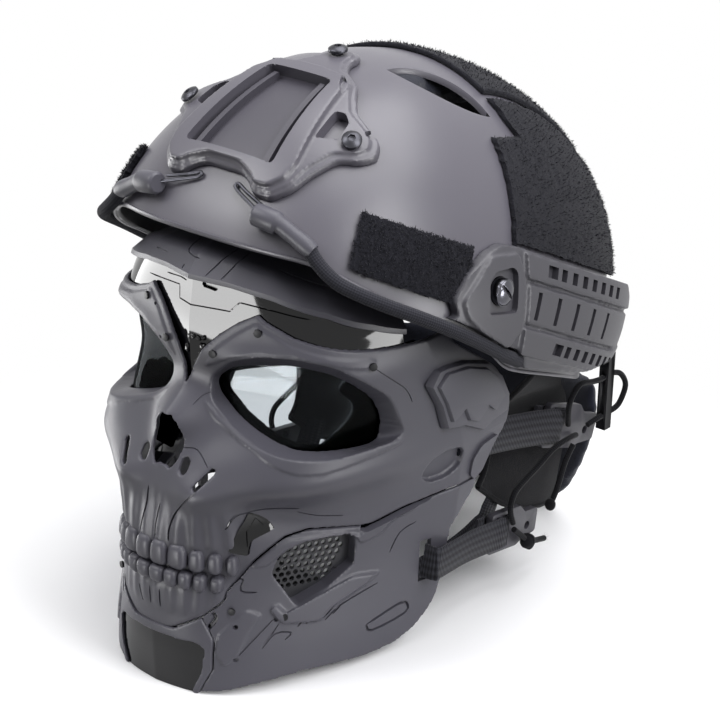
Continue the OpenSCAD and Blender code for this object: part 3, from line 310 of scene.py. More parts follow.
# %% The face
ROWS = [(-10, -158, .1, 79, -30, 3.4), (0, -160, .1, 80, -30, 3.4), (21, -162, .1, 82, -28, 3.0),
        (38, -162, .05, 83.2, -26, 2.6), (60, -163, 0, 84.8, -25, 2.2), (88, -161, 0, 87.2, -24, 2.4),
        (100, -159, 0, 88, -24, 2.9), (112, -158, .05, 88.8, -25, 3.6), (125, -153, .15, 90, -30, 4.5),
        (140, -142, .2, 90, -38, 6.5), (155, -135, .25, 90, -45, 8), (173, -136, .3, 90, -55, 10),
        (190, -137, .35, 87.2, -60, 8), (205, -135, .35, 84, -60, 6), (220, -133, .35, 80, -60, 5),
        (235, -130, .35, 76, -60, 5)]
SWELLS = [(15, 0, 144, 12, 12), (4, 40, 177, 26, 8), (6, 66, 117, 18, 11), (-8, 50, 98, 13, 12),
          (3, 22, 112, 12, 8)]
EAR_RUN = 60

def row_value(z, k):
    i = max(0, min(sum(r[0] <= z for r in ROWS) - 1, len(ROWS) - 2))
    a, b = ROWS[i], ROWS[i + 1]
    o, n = ROWS[max(i - 1, 0)], ROWS[min(i + 2, len(ROWS) - 1)]
    h, u = b[0] - a[0], (z - a[0]) / (b[0] - a[0])
    m, q = (b[k] - o[k]) / (b[0] - o[0]) * h, (n[k] - a[k]) / (n[0] - a[0]) * h
    return (2*u**3 - 3*u*u + 1) * a[k] + (u**3 - 2*u*u + u) * m + (3*u*u - 2*u**3) * b[k] + (u**3 - u*u) * q

row_cache = {}
def row_at(z):
    key = round(z, 2)
    if key not in row_cache:
        row_cache[key] = [row_value(key, k) for k in range(1, 6)]
    return row_cache[key]

def swell(x, z):
    return sum(s[0] * math.exp(-((abs(x) - s[1]) / s[3]) ** 2 - ((z - s[2]) / s[4]) ** 2) for s in SWELLS)

def face(t, z, off, carved=1):
    reach, slope, wide, back, square = row_at(z)
    g = min(abs(t), 1)
    x = wide * g
    y = reach + slope * x + (back - reach - slope * wide) * g ** square + max(abs(t) - 1, 0) * EAR_RUN
    out = Vector((x, min(y + 40, 0), 0)).normalized()
    p = Vector((x, y, z)) + out * (off + carved * swell(x, z))
    return Vector((math.copysign(p.x, t), p.y, z))

def face_share(x, z):
    return x / row_at(z)[2]

def spaced(t0, t1, step, z=110):
    fine = [t0 + (t1 - t0) * i / 800 for i in range(801)]
    points = [face(t, z, 0, 0) for t in fine]
    run = [0.0]
    for a, b in zip(points, points[1:]):
        run.append(run[-1] + (b - a).length)
    n = max(2, round(run[-1] / step))
    out, k = [], 0
    for i in range(n + 1):
        while k < 799 and run[k + 1] < run[-1] * i / n:
            k += 1
        share = (run[-1] * i / n - run[k]) / max(run[k + 1] - run[k], 1e-9)
        out.append(fine[k] + (fine[k + 1] - fine[k]) * min(max(share, 0), 1))
    return out

def even(a, b, step):
    n = max(1, round(abs(b - a) / step))
    return [a + (b - a) * i / n for i in range(n + 1)]

# %% [markdown]
# ## Tools for moulded pieces
# A moulded piece is a wall that follows one of the two surfaces, cut to an outline and pierced where the
# real one is. By hand this would be a grid, a shrinkwrap, a solidify and a few booleans. Here the same four
# steps are small functions: a slab between two lifts, a prism from an outline, a cut, and a remesh that
# rounds every edge alike, as a mould does.

# %% Slab, prism, tube and cut
MM = 0.001
scene_objects = bpy.context.scene.collection.objects

def solid(name, points, faces):
    mesh = bpy.data.meshes.new(name)
    mesh.from_pydata([[c * MM for c in p] for p in points], [], faces)
    made = bpy.data.objects.new(name, mesh)
    scene_objects.link(made)
    return made

def slab(name, at, us, vs, low, high):
    wide, tall = len(us), len(vs)
    points = [at(u, v, off) for off in (high, low) for v in vs for u in us]
    n = wide * tall
    faces = []
    for i in range(tall - 1):
        for j in range(wide - 1):
            a = i * wide + j
            faces += [(a, a + 1, a + wide + 1, a + wide), (n + a, n + a + wide, n + a + wide + 1, n + a + 1)]
    rim = list(range(wide)) + [i * wide + wide - 1 for i in range(1, tall)]
    rim += [(tall - 1) * wide + j for j in range(wide - 2, -1, -1)] + [i * wide for i in range(tall - 2, 0,
            -1)]
    faces += [(b, a, a + n, b + n) for a, b in zip(rim, rim[1:] + rim[:1])]
    return outward(solid(name, points, faces))

def outward(obj):
    bm = bmesh.new()
    bm.from_mesh(obj.data)
    bmesh.ops.recalc_face_normals(bm, faces=bm.faces)
    bm.to_mesh(obj.data)
    bm.free()
    return obj

def prism(name, outline, place, low, high, top=None):
    n = len(outline)
    points = [place(u, v, low) for u, v in outline] + [place(u, v, high) for u, v in top or outline]
    faces = [tuple(range(n - 1, -1, -1)), tuple(range(n, 2 * n))]
    faces += [(i, (i + 1) % n, (i + 1) % n + n, i + n) for i in range(n)]
    return outward(solid(name, points, faces))

def select_only(obj):
    bpy.ops.object.select_all(action="DESELECT")
    obj.select_set(True)
    bpy.context.view_layer.objects.active = obj

def finish_modifier(obj, kind, **settings):
    made = obj.modifiers.new(kind.lower(), kind)
    for key, value in settings.items():
        setattr(made, key, value)
    select_only(obj)
    bpy.ops.object.modifier_apply(modifier=made.name)
    return obj

def cut(obj, others, how="DIFFERENCE"):
    for other in others if isinstance(others, list) else [others]:
        finish_modifier(obj, "BOOLEAN", object=other, operation=how, solver="MANIFOLD")
        bpy.data.objects.remove(other)
    return obj

def join(obj, others):
    select_only(obj)
    for other in others:
        other.select_set(True)
    bpy.ops.object.join()
    return obj

def both_sides(shape):
    copy = bpy.data.objects.new(shape.name + "_twin", shape.data.copy())
    scene_objects.link(copy)
    copy.data.transform(Matrix.Scale(-1, 4, (1, 0, 0)))
    copy.data.flip_normals()
    return [shape, copy]

def thinned(obj, limit):
    triangles = 2 * len(obj.data.polygons)
    if triangles > limit:
        finish_modifier(obj, "DECIMATE", ratio=limit / triangles)
    return obj

def moulded(obj, grain=0.8, limit=180000, passes=2):
    finish_modifier(obj, "REMESH", mode="VOXEL", voxel_size=grain * MM, adaptivity=0.0)
    finish_modifier(obj, "SMOOTH", factor=0.5, iterations=passes)
    return thinned(obj, limit)

def bevelled(obj, width, segments, degrees):
    return finish_modifier(obj, "BEVEL", width=width * MM, segments=segments, limit_method="ANGLE",
                           angle_limit=math.radians(degrees))

def cut_patch(at, us, vs, low, high, outline, place, near, far):
    """A slab of a surface, cut to an outline drawn on a plane."""
    return cut(slab("patch", at, us, vs, low, high), prism("edge", outline, place, near, far), "INTERSECT")

def dress(obj, name, material, body, nodes=(), angle=35):
    obj.name = name
    obj.data.materials.clear()
    obj.data.materials.append(material)
    select_only(obj)
    bpy.ops.object.shade_smooth_by_angle(angle=math.radians(angle))
    if isinstance(body, str):
        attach(obj, body)
    else:
        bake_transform(obj)
    if nodes:
        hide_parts(*nodes)
    print(name, len(obj.data.polygons), "faces")
    return obj

def dress_pair(shape, stem, material, body, node=None, angle=35):
    """Finishes a left piece and its mirrored twin; node is the stem of the two nodes that they stand for."""
    for piece, side in zip(both_sides(shape), ("left", "right")):
        dress(piece, stem + side, material, body, [node + side] if node else (), angle)

# %% Outlines and routes
def on_line(line, x):
    """The value at x of a line given as points; past its end it keeps the last value."""
    for (a, u), (b, v) in zip(line, line[1:]):
        if x <= b:
            return u + (v - u) * (x - a) / (b - a)
    return line[-1][1]

def soften(outline, r, steps=4):
    out = []
    n = len(outline)
    for i, p in enumerate(outline):
        p, a, b = Vector(p), Vector(outline[i - 1]), Vector(outline[(i + 1) % n])
        u, v = a - p, b - p
        q, s = p + u.normalized() * min(r, u.length * 0.45), p + v.normalized() * min(r, v.length * 0.45)
        out += [(1 - k) ** 2 * q + 2 * k * (1 - k) * p + k * k * s
                for k in [i / steps for i in range(steps + 1)]]
    return [tuple(p) for p in out]

def spline(a, b, c, d, u):
    """The point at share u of the leg from b to c of a smooth curve through four points."""
    return 0.5 * (2 * b + (c - a) * u + (2 * a - 5 * b + 4 * c - d) * u * u + (3 * b - a - 3 * c + d)
                  * u ** 3)

def curve(points, per_leg=6):
    pts = [Vector(p) for p in points]
    out = []
    for i in range(len(pts) - 1):
        leg = pts[max(i - 1, 0)], pts[i], pts[i + 1], pts[min(i + 2, len(pts) - 1)]
        out += [spline(*leg, k / per_leg) for k in range(per_leg)]
    return out + [pts[-1]]

def sweep(name, route, section, up):
    """A closed skin of sections along a route, with a UV map in millimetres: along it, and round it."""
    pts = [Vector(p) for p in route]
    n, m = len(pts), len(section(0))
    points, runs = [], [0.0]
    for i in range(n):
        ahead = (pts[min(i + 1, n - 1)] - pts[max(i - 1, 0)]).normalized()
        top = up(i / (n - 1)) if callable(up) else Vector(up)
        side = ahead.cross(top).normalized()
        rise = side.cross(ahead)
        points += [pts[i] + side * a + rise * b for a, b in section(i / (n - 1))]
        if i:
            runs.append(runs[-1] + (pts[i] - pts[i - 1]).length)
    faces = [(i * m + j, i * m + (j + 1) % m, (i + 1) * m + (j + 1) % m, (i + 1) * m + j)
             for i in range(n - 1) for j in range(m)]
    made = solid(name, points, faces + [tuple(range(m - 1, -1, -1)), tuple(range((n - 1) * m, n * m))])
    ring = [0.0]
    for (a, b), (c, d) in zip(section(0), section(0)[1:] + section(0)[:1]):
        ring.append(ring[-1] + math.hypot(c - a, d - b))
    layer = made.data.uv_layers.new(name="UVMap")
    for face_index, polygon in enumerate(made.data.polygons):
        for corner, loop in enumerate(polygon.loop_indices):
            if face_index < (n - 1) * m:
                i, j = divmod(face_index, m)
                layer.data[loop].uv = (runs[i + (corner > 1)], ring[j + (corner in (1, 2))])
    return outward(made)

def ring_faces(m, k):
    """Faces of a closed ring of m sections with k points each."""
    return [(k * i + j, k * i + (j + 1) % k, k * ((i + 1) % m) + (j + 1) % k, k * ((i + 1) % m) + j)
            for i in range(m) for j in range(k)]

def round_section(r, sides=12):
    ring = [(r * math.cos(2 * math.pi * k / sides), r * math.sin(2 * math.pi * k / sides))
            for k in range(sides)]
    return lambda s: ring

def tape_section(wide, thick):
    a, b, c = thick / 2, wide / 2, min(thick, wide) * 0.3
    ring = [(a, b - c), (a - c, b), (-a + c, b), (-a, b - c), (-a, c - b), (c - a, -b), (a - c, -b),
            (a, c - b)]
    return lambda s: ring

# %% Places that the prisms are drawn on
def in_front(x, z, d):
    return Vector((x, d, z))

def at_side(y, z, d):
    return Vector((d, y, z))

def helmet_side(y, z, d):
    return rig((d, y, z))

def brow_slope(u, v, d):
    a = math.radians(90 - 52.3)
    return rig((u, v * math.cos(a) - d * math.sin(a) - 100, v * math.sin(a) + d * math.cos(a) + 91))

def arch(x, z, off):
    return face(max(min(face_share(x, z), 1), -1), z, off)

CHEEK_TURN = math.radians(65.7)
mesh_centre = arch(57, 62, 0)
def on_cheek(u, v, d):
    c, s = math.cos(CHEEK_TURN), math.sin(CHEEK_TURN)
    return mesh_centre + Vector((u * c + d * s, u * s - d * c, v))

def groove(path, width, depth, at=face, lift=0.0, per_leg=4):
    """A narrow wedge along a line drawn on a surface, to be cut out of it."""
    line = curve([(t, z, 0) for t, z in path], per_leg)
    n = len(line)
    points = []
    for i, p in enumerate(line):
        a, b = line[max(i - 1, 0)], line[min(i + 1, n - 1)]
        here = at(p.x, p.y, lift)
        ahead = (at(b.x, b.y, lift) - at(a.x, a.y, lift)).normalized()
        out = (at(p.x, p.y, lift + 1) - here).normalized()
        side = ahead.cross(out).normalized()
        w = width * (0.35 if i in (0, n - 1) else 1) / 2
        points += [here + out * 1.5 - side * w * 1.3, here + out * 1.5 + side * w * 1.3, here - out * depth
                   + side * w * 0.6, here - out * depth - side * w * 0.6]
    faces = [(0, 1, 2, 3), (4 * n - 1, 4 * n - 2, 4 * n - 3, 4 * n - 4)]
    faces += [(4 * i + k, 4 * i + 4 + k, 4 * i + 4 + (k + 1) % 4, 4 * i + (k + 1) % 4) for i in range(n - 1)
              for k in range(4)]
    return outward(solid("groove", points, faces))

def ball(place, r, stretch=(1, 1, 1), turn=0.0, segments=20):
    bpy.ops.object.select_all(action="DESELECT")
    bpy.ops.mesh.primitive_uv_sphere_add(segments=segments, ring_count=segments // 2, radius=r * MM)
    made = bpy.context.object
    shape = Matrix.Translation(Vector(place)
                               * MM) @ Matrix.Rotation(turn, 4, "Z") @ Matrix.Diagonal((*stretch, 1))
    made.data.transform(shape)
    return made

def rod(a, b, r, sides=24):
    a, b = Vector(a), Vector(b)
    bpy.ops.object.select_all(action="DESELECT")
    bpy.ops.mesh.primitive_cylinder_add(vertices=sides, radius=r * MM, depth=(b - a).length * MM)
    made = bpy.context.object
    turn = (b - a).to_track_quat("Z", "Y").to_matrix().to_4x4()
    made.data.transform(Matrix.Translation((a + b) / 2 * MM) @ turn)
    return made

# %% [markdown]
# ## The skull
# The skull is one moulding of matt ABS: a wall 2.4 mm thick with cheekbones, a brow, funnel-shaped eye
# sockets and two rows of teeth. It is built as the fine face surface, cut by a front outline and a side
# outline. The sockets are joined before a voxel remesh, so that their lips come out rounded. Teeth and
# cracks come after it, because a remesh would blur the creases that make teeth read as teeth.

# %% Outlines seen from the front
WALL_M = 2.4
BROW_EDGE = [(0, 158), (3, 168), (8, 178), (15, 186), (24, 194), (34, 200), (38, 197), (52, 191), (68, 187),
             (84, 183), (100, 180)]
GUARD_LINE = [(0, 31), (13, 36), (26, 44), (33, 52), (34, 58), (38, 65), (42, 73), (50, 84), (56, 86),
              (63, 84), (70, 81), (77, 86), (85, 89), (100, 90)]
EYE_LIP = [(12, 164), (13, 154), (21, 147), (31, 142), (42, 138), (52, 135), (63, 132), (74, 129), (84, 131),
           (84, 142), (83, 158), (80, 170), (72, 179), (55, 182), (38, 181), (24, 176)]
EYE_FLOOR = [(10, 160), (12.5, 153.5), (20, 149), (28, 145), (40, 141), (52, 137.5), (62, 133), (72, 129.5),
             (80, 127), (82, 141), (81, 153), (77.5, 165), (71, 172), (54, 174), (36, 171), (20, 168)]
EAR = [(-52, 184), (-30, 170), (1, 149), (15, 128), (13, 113), (2, 99), (-9, 84)]
UPPER_EDGES = [0, 9.7, 19.4, 26.7, 33.3, 38.6]
UPPER_TOPS = [83.4, 83.2, 81.1, 79.1, 77.1]
UPPER_BITE = [70, 69.8, 69.2, 68, 66.6]
LOWER_EDGES = [0, 8.4, 15.3, 21.5, 27.6, 34]
LOWER_ENDS = [60.2, 59.3, 58.9, 57.9, 57.1]

# %% Bone relief: roots of the teeth, and the hollow between the jaws
def fade(value, start, end):
    u = min(max((value - start) / (end - start), 0), 1)
    return u * u * (3 - 2 * u)

def root(x, edges, i):
    """Height of one root's ridge at x, as a share of its full height."""
    middle, wide = (edges[i] + edges[i + 1]) / 2, edges[i + 1] - edges[i]
    return math.exp(-((x - middle) / (0.34 * wide)) ** 2)

def bone(t, z):
    x = abs(t) * row_at(z)[2]
    if x > 46 or not 40 < z < 122:
        return 0.0
    out = 0.0
    for i in range(5):
        length = 30 if i in (0, 2) else 22
        out += 1.7 * root(x, UPPER_EDGES, i) * fade(z, 78, 84) * fade(-z, -86 - length, -92)
        out += 1.0 * root(x, LOWER_EDGES, i) * fade(z, 42, 50) * fade(-z, -62, -57)
    bite = 69.5 - 0.05 * x
    out -= 2.0 * math.exp(-((z - bite) / 7.5) ** 4) * fade(-x, -43, -38)
    return out

def skull_face(t, z, off):
    return face(t, z, off + bone(t, z))

# %% Skull wall
def mirrored_outline(half):
    return half + [(-x, z) for x, z in reversed(half) if x > 0.01]

ear_cols = [1 + 0.1375 * i for i in range(1, 9)]
half_cols = spaced(0, 1, 1.6, 100)
skull_cols = [-t for t in reversed(half_cols[1:] + ear_cols)] + half_cols + ear_cols
skull = slab("skull", skull_face, skull_cols, even(28, 204, 1.6), -WALL_M, 0)
upper_half = GUARD_LINE + list(reversed(BROW_EDGE))
cut(skull, prism("region", mirrored_outline(upper_half), in_front, 60, -230), "INTERSECT")
ear_side = [(-220, 20), (-220, 210), (-70, 210)] + soften(EAR, 6)[5:-5] + [(-9, 84), (-9, 20)]
cut(skull, prism("side", ear_side, at_side, -130, 130), "INTERSECT")
cut(skull, both_sides(prism("eye", soften(EYE_LIP, 5), in_front, -30, -200)))
print("skull wall", len(skull.data.vertices), "points")

# %% Eye sockets
def socket():
    lip = soften(EYE_LIP, 5, 3)
    floor_line = soften(EYE_FLOOR, 5, 3)
    middle = Vector((50, 156))
    points = []
    def pushed(p):
        away = (Vector(p) - middle).normalized() * 2.0
        return p[0] + away.x, p[1] + away.y
    for p, q in zip(lip, floor_line):
        p2, q2 = pushed(p), pushed(q)
        low = face(face_share(*q), q[1], -9, 0)
        points += [arch(p[0], p[1], -0.1), low, face(face_share(*q2), q2[1], -9, 0),
                   arch(p2[0], p2[1], -WALL_M)]
    return outward(solid("socket", points, ring_faces(len(lip), 4)))
skull = join(skull, both_sides(socket()))

# %% Nose, breathing slots and the hollows at the temples
def pill(a, b, r, steps=8):
    a, b = Vector((*a, 0)), Vector((*b, 0))
    turn = math.atan2(b.y - a.y, b.x - a.x)
    ring = [(a, turn + math.pi / 2 + math.pi * k / steps) for k in range(steps + 1)]
    ring += [(b, turn - math.pi / 2 + math.pi * k / steps) for k in range(steps + 1)]
    return [(c.x + r * math.cos(w), c.y + r * math.sin(w)) for c, w in ring]

nose = [(0, 126), (2.4, 121), (5, 119.6), (8, 124), (9.6, 131), (8.6, 138), (6, 143.5), (3, 147), (0, 148.5)]
cut(skull, prism("nose", mirrored_outline(nose[1:-1]), in_front, -100, -230))
for outline in (pill((13, 124.6), (13, 121.4), 2.4), pill((28.4, 123.4), (23.4, 115.4), 1.5)):
    cut(skull, both_sides(prism("slot", outline, in_front, -80, -230)))
TEMPLE = [(-50, 102), (-47, 110), (-39, 113.5), (-27, 113), (-23, 109), (-24, 101), (-33, 96.5), (-44, 96.5)]
backing = slab("backing", face, spaced(.84, 1.01, 1.6, 105), even(92, 118, 1.6), -6.8, -WALL_M + 1)
skull = join(skull, both_sides(backing))
hollow = cut_patch(face, spaced(.8, 1.05, 1.6, 105), even(90, 120, 1.6), -3.5, 6, soften(TEMPLE, 3), at_side,
                   40, 130)
cut(skull, both_sides(hollow))

# %% Fold under the eye and brow ridge, laid on before the remesh, and the flats of the jaw
def layer(outline, low, high, step=1.6):
    zs = [z for _, z in outline]
    shares = [face_share(x, z) for x, z in outline]
    cols = spaced(max(min(shares) - 0.04, -2), min(max(shares) + 0.04, 1.4), step, sum(zs) / len(zs))
    return cut_patch(face, cols, even(min(zs) - 2, max(zs) + 2, step), low, high, outline, in_front, 60, -230)

under_eye = [(12, 153), (20.6, 146), (40, 138.2), (59, 133), (72, 129.5), (84, 131), (84, 128), (77, 125.2),
             (71, 123.8), (64, 125.5), (54, 130.5), (44, 135.6), (30, 140), (19, 145)]
skull = join(skull, both_sides(layer(soften(under_eye, 2), -1.2, 0.8)))
brow_ridge = [(10, 170), (17, 181), (26, 189.5), (35, 196), (38, 193.5), (52, 187.5), (68, 183.6), (82, 180),
              (82, 176), (70, 180.6), (54, 183.6), (38, 182.6), (25, 178)]
skull = join(skull, both_sides(layer(soften(brow_ridge, 2), -1.2, 0.7)))

def skull_side(y, z, off):
    wide = row_at(z)[2]
    return Vector((wide + swell(wide, z) + off, y, z))
HEXAGON = [(-16, 92), (-15, 101), (-9, 107.4), (5, 109.4), (0, 100.5), (-5.5, 91.6), (-12, 88.6)]
hexagon = cut_patch(skull_side, even(-18, 10, 2), even(86, 112, 2), -1.5, 1.5, soften(HEXAGON, 2, 3),
                    at_side, 60, 130)
bevelled(hexagon, 0.35, 1, 50)
boss = ball(face(0.915, 103, -3.8), 2.6, (0.9, 1, 1), segments=24)
moulded(skull, 0.75, 170000)
skull = join(skull, both_sides(hexagon) + both_sides(boss))

# %% [markdown]
# Teeth are shaped from spheres: a power pulls each sphere towards a box, which gives the blunt edge of an
# incisor, and the crown is widened towards the bite. They overlap a little and are united with the jaw, so
# that the crease between two teeth is a true edge. The bite stays open as small dark gaps, because the jaw
# behind is sunk.

# %% Teeth
def signed_power(v, k):
    return math.copysign(abs(v) ** k, v)

def tooth(x0, x1, z_bite, z_root):
    middle, wide, tall = (x0 + x1) / 2, (x1 - x0) / 2 * 1.06, (z_root - z_bite) / 2 * 1.04
    centre = arch(middle, (z_bite + z_root) / 2, -1.0)
    out = (arch(middle, z_bite, 1) - arch(middle, z_bite, 0)).normalized()
    side = Vector((-out.y, out.x, 0))
    made = ball((0, 0, 0), 1000, segments=28)
    for v in made.data.vertices:
        c = v.co
        a, b, d = signed_power(c.x, 0.6), signed_power(c.y, 0.8), signed_power(c.z, 0.62)
        flare = 1.0 - 0.09 * d
        p = centre + side * a * wide * flare - out * b * 4.4 + Vector((0, 0, tall * d)) - out * 0.25 * d
        v.co = p * MM
    return outward(made)

teeth = []
for i in range(5):
    teeth += both_sides(tooth(UPPER_EDGES[i], UPPER_EDGES[i + 1], UPPER_BITE[i], UPPER_TOPS[i]))
    teeth += both_sides(tooth(LOWER_EDGES[i], LOWER_EDGES[i + 1], UPPER_BITE[i] - 0.7, LOWER_ENDS[i]))
for one in teeth:
    cut(skull, one, "UNION")
print("teeth", len(teeth))

# %% Cracks, panel lines and creases of the skull
SKULL_LINES = [([(.115, 84), (.117, 91), (.158, 100.8), (.276, 114.4)], 1.0, 1.0),
               ([(-.103, 83), (-.062, 96.7), (-.054, 109.1)], 0.9, 0.9),
               ([(.024, 84), (.023, 90.6), (.038, 102.2)], 0.8, 0.8),
               ([(-.104, 54), (-.09, 49), (-.076, 44.8)], 0.8, 0.7), ([(-.009, 56), (-.009, 45.7)], 0.8,
                                                                      0.7), ([(.069, 56), (.069, 45.8)], 0.8,
                                                                              0.7),
               ([(.06, 132.2), (.107, 131.1), (.182, 130.9), (.285, 124.8)], 0.8, 0.8),
               ([(.40, 93), (.44, 99.5), (.49, 101.2), (.56, 101.6), (.66, 99)], 1.3, 1.0),
               ([(.647, 96.7), (.693, 92.8), (.755, 90)], 0.8, 0.7),
               ([(.90, 178), (.93, 170), (.95, 160), (.955, 150)], 0.7, 0.6),
               ([(.2, 158), (.12, 155.5), (.09, 151)], 0.8, 0.6)]
for path, width, depth in SKULL_LINES:
    cut(skull, groove(path, width, depth))
for t, z in [(-.224, 176.3), (-.322, 190.5), (.162, 177.9), (.905, 176.2), (.43, 192.6)]:
    cut(skull, rod(face(t, z, 3), face(t, z, -1.0), 0.9, 12))
dress(skull, "skull_moulding", matt_abs, "mask", ["skull_face"], 32)

# %% [markdown]
# ## Forehead, brow cap and chin
# The forehead is the one bright part of the face: a polished black panel behind the brow, so smooth that it
# shows the soft boxes as white shapes. It gets hardly any grain and no remesh, only a fine grid. The brow
# cap sits over its top edge and slopes back under the helmet's brim; its panel lines are wedges cut along
# its own surface.

# %% Gloss forehead
CAP_EDGE = [(0, 216), (.25, 214.5), (.49, 211), (.75, 204), (.9, 196.5), (.97, 191)]
PANEL_LOW = [(0, 158), (.05, 160), (.1, 170), (.15, 181), (.21, 184.5), (.6, 185.5), (.8, 183.5),
             (.97, 180.5)]
def forehead_at(t, k, off):
    low, high = on_line(PANEL_LOW, abs(t)), on_line(CAP_EDGE, abs(t))
    return face(t, low + (high - low) * k, off - WALL_M - 0.3, 0)

def panel_row(t, z):
    low, high = on_line(PANEL_LOW, abs(t)), on_line(CAP_EDGE, abs(t))
    return t, (z - low) / (high - low)
panel_cols = spaced(-.97, .97, 1.3, 200)
forehead = slab("forehead", forehead_at, panel_cols, even(0, 1, 0.025), -WALL_M, 0)
STEP_LINE = [(-.5, 200.5), (-.144, 205.5), (-.126, 199), (.0, 199.5), (.234, 199.1), (.291, 204.2),
             (.5, 202.4), (.679, 200)]
for path in (STEP_LINE, [(-.30, 207), (-.144, 209.5), (-.07, 209.7)]):
    line = []
    for (t0, z0), (t1, z1) in zip(path, path[1:]):
        line += [panel_row(t0 + (t1 - t0) * k / 6, z0 + (z1 - z0) * k / 6) for k in range(6)]
    line.append(panel_row(*path[-1]))
    cut(forehead, groove(line, 0.9, 0.8, forehead_at, per_leg=1))
notch = [panel_row(.06, 211), panel_row(.11, 210.2), panel_row(.155, 209.2)]
cut(forehead, groove(notch, 3.2, 1.6, forehead_at, per_leg=3))
dress(forehead, "forehead_gloss_panel", polished_abs, "mask", ["forehead_panel"], 30)

# %% Brow cap
CAP_STEPS = [(-3, 0.2), (-2.6, 1.0), (-1.5, 1.25), (0, 1.4), (8, -5), (13, -20)]
def cap_at(t, k, off):
    i = min(int(k), len(CAP_STEPS) - 2)
    rise, out = Vector(CAP_STEPS[i]).lerp(Vector(CAP_STEPS[i + 1]), k - i)
    sunk = min(max(k - 3, 0), 1)
    return face(t, on_line(CAP_EDGE, abs(t)) + rise + 0.3 + off * sunk, out + off * (1 - 0.6 * sunk), 0)
cap_rows = [0, 1, 2, 3, 3.25, 3.5, 3.75, 4, 4.25, 4.5, 4.75, 5]
cap = slab("cap", cap_at, panel_cols, cap_rows, -WALL_M, 0)
for path in ([(.21, 5), (.16, 4), (.10, 3.05)], [(.30, 5), (.255, 4), (.195, 3.05)],
             [(-.16, 4.6), (-.11, 3.9), (.02, 3.8)],
             [(-.45, 3.5), (-.3, 3.45)], [(.5, 4.3), (.8, 4.2)], [(-.08, 3.3), (-.08, 3.06)]):
    cut(cap, groove(path, 0.9, 0.7, cap_at, per_leg=6))
dress(cap, "brow_cap_moulding", matt_abs, "mask", ["brow_cap"], 30)

# %% Broken nasal bits: small chips between the brows
for i, (t, z, r) in enumerate([(.012, 183.3, 2.2), (.055, 182.7, 1.7), (.085, 183.2, 1.9),
                               (.077, 179.1, 2.3), (-.022, 176.2, 2.4),
                               (.061, 174.5, 2.0), (.04, 169.3, 2.2)]):
    p = face(t, z, -WALL_M - 0.2, 0)
    bpy.ops.object.select_all(action="DESELECT")
    bpy.ops.mesh.primitive_ico_sphere_add(subdivisions=1, radius=r * MM)
    chip = bpy.context.object
    turned = Matrix.Rotation(i * 1.1, 4, (0.4, 0.8, 0.5)) @ Matrix.Diagonal((1.3, 0.7, 0.8, 1))
    chip.data.transform(Matrix.Translation(p * MM) @ turned)
    finish_modifier(chip, "BEVEL", width=0.3 * MM, segments=1)
    dress(chip, f"nasal_chip_{i + 1}", polished_abs, "mask", (), 20)

# %% [markdown]
# ## Jaw guards, mesh and chin
# The guard is a shell over the jaw, 0.6 mm prouder than the skull, with a mesh window whose deep dark walls
# lead in to the perforated plate. Ribs and an outlined slot are pressed into it. Each side is its own
# moulding; it is built once on the left and mirrored.

# %% Guard shell
CHIN_EDGE = [(0, 30), (13, 35), (26, 43), (31, 31), (31, 14), (25, 0)]
JAW = [(-190, -5), (-164, 0), (-150, 2), (-137, 5), (-114, 7), (-98, 6), (-76, 4.5), (-58, 6), (-46, 11),
       (-38, 18), (-33, 25), (-30, 34), (-29, 46), (-26, 66), (-9, 84), (-9, 100), (-190, 100)]
MESH_WINDOW = [(-17, 17), (22, 18), (24.5, 9), (24, -2), (8, -12), (-9, -18), (-22, 2)]
GUARD_LIFT = 0.6
guard_edge = [(26, 43.4), (33.5, 51.6), (34.6, 58), (38.6, 64.6), (42.6, 72.5), (50.3, 83.3), (56, 85.3),
              (63, 83.3), (70.2, 80.2), (77.4, 85.4), (85, 88.4), (100, 89.4), (100, -8), (24.8, -8),
              (25.6, 0), (31.6, 14), (31.6, 31)]
guard_cols = spaced(0.2, 1, 1.5, 60) + [1 + 0.06 * i for i in range(1, 16)]
guard = cut_patch(face, guard_cols, even(-2, 92, 1.5), GUARD_LIFT - WALL_M, GUARD_LIFT,
                  soften(guard_edge, 1.2, 2), in_front, 20, -230)
cut(guard, prism("side", soften(JAW, 1.5, 2), at_side, 0, 130), "INTERSECT")
window_edge = soften(MESH_WINDOW, 1.6, 2)
cut(guard, prism("window", window_edge, on_cheek, -30, 25))

def grown(outline, by):
    n = len(outline)
    out = []
    for i, p in enumerate(outline):
        a, b = Vector(outline[i - 1]), Vector(outline[(i + 1) % n])
        along = (b - a).normalized()
        out.append((p[0] + along.y * by, p[1] - along.x * by))
    return out
collar = cut_patch(face, spaced(0.3, .98, 2, 60), even(34, 88, 2), GUARD_LIFT - 10.5, GUARD_LIFT, guard_edge,
                   in_front, 20, -230)
cut(collar, prism("ring", grown(window_edge, -2.2), on_cheek, -30, 25), "INTERSECT")
cut(collar, prism("hole", window_edge, on_cheek, -31, 26))

def guard_layer(outline, high):
    return layer(outline, GUARD_LIFT - 1.4, GUARD_LIFT + high)

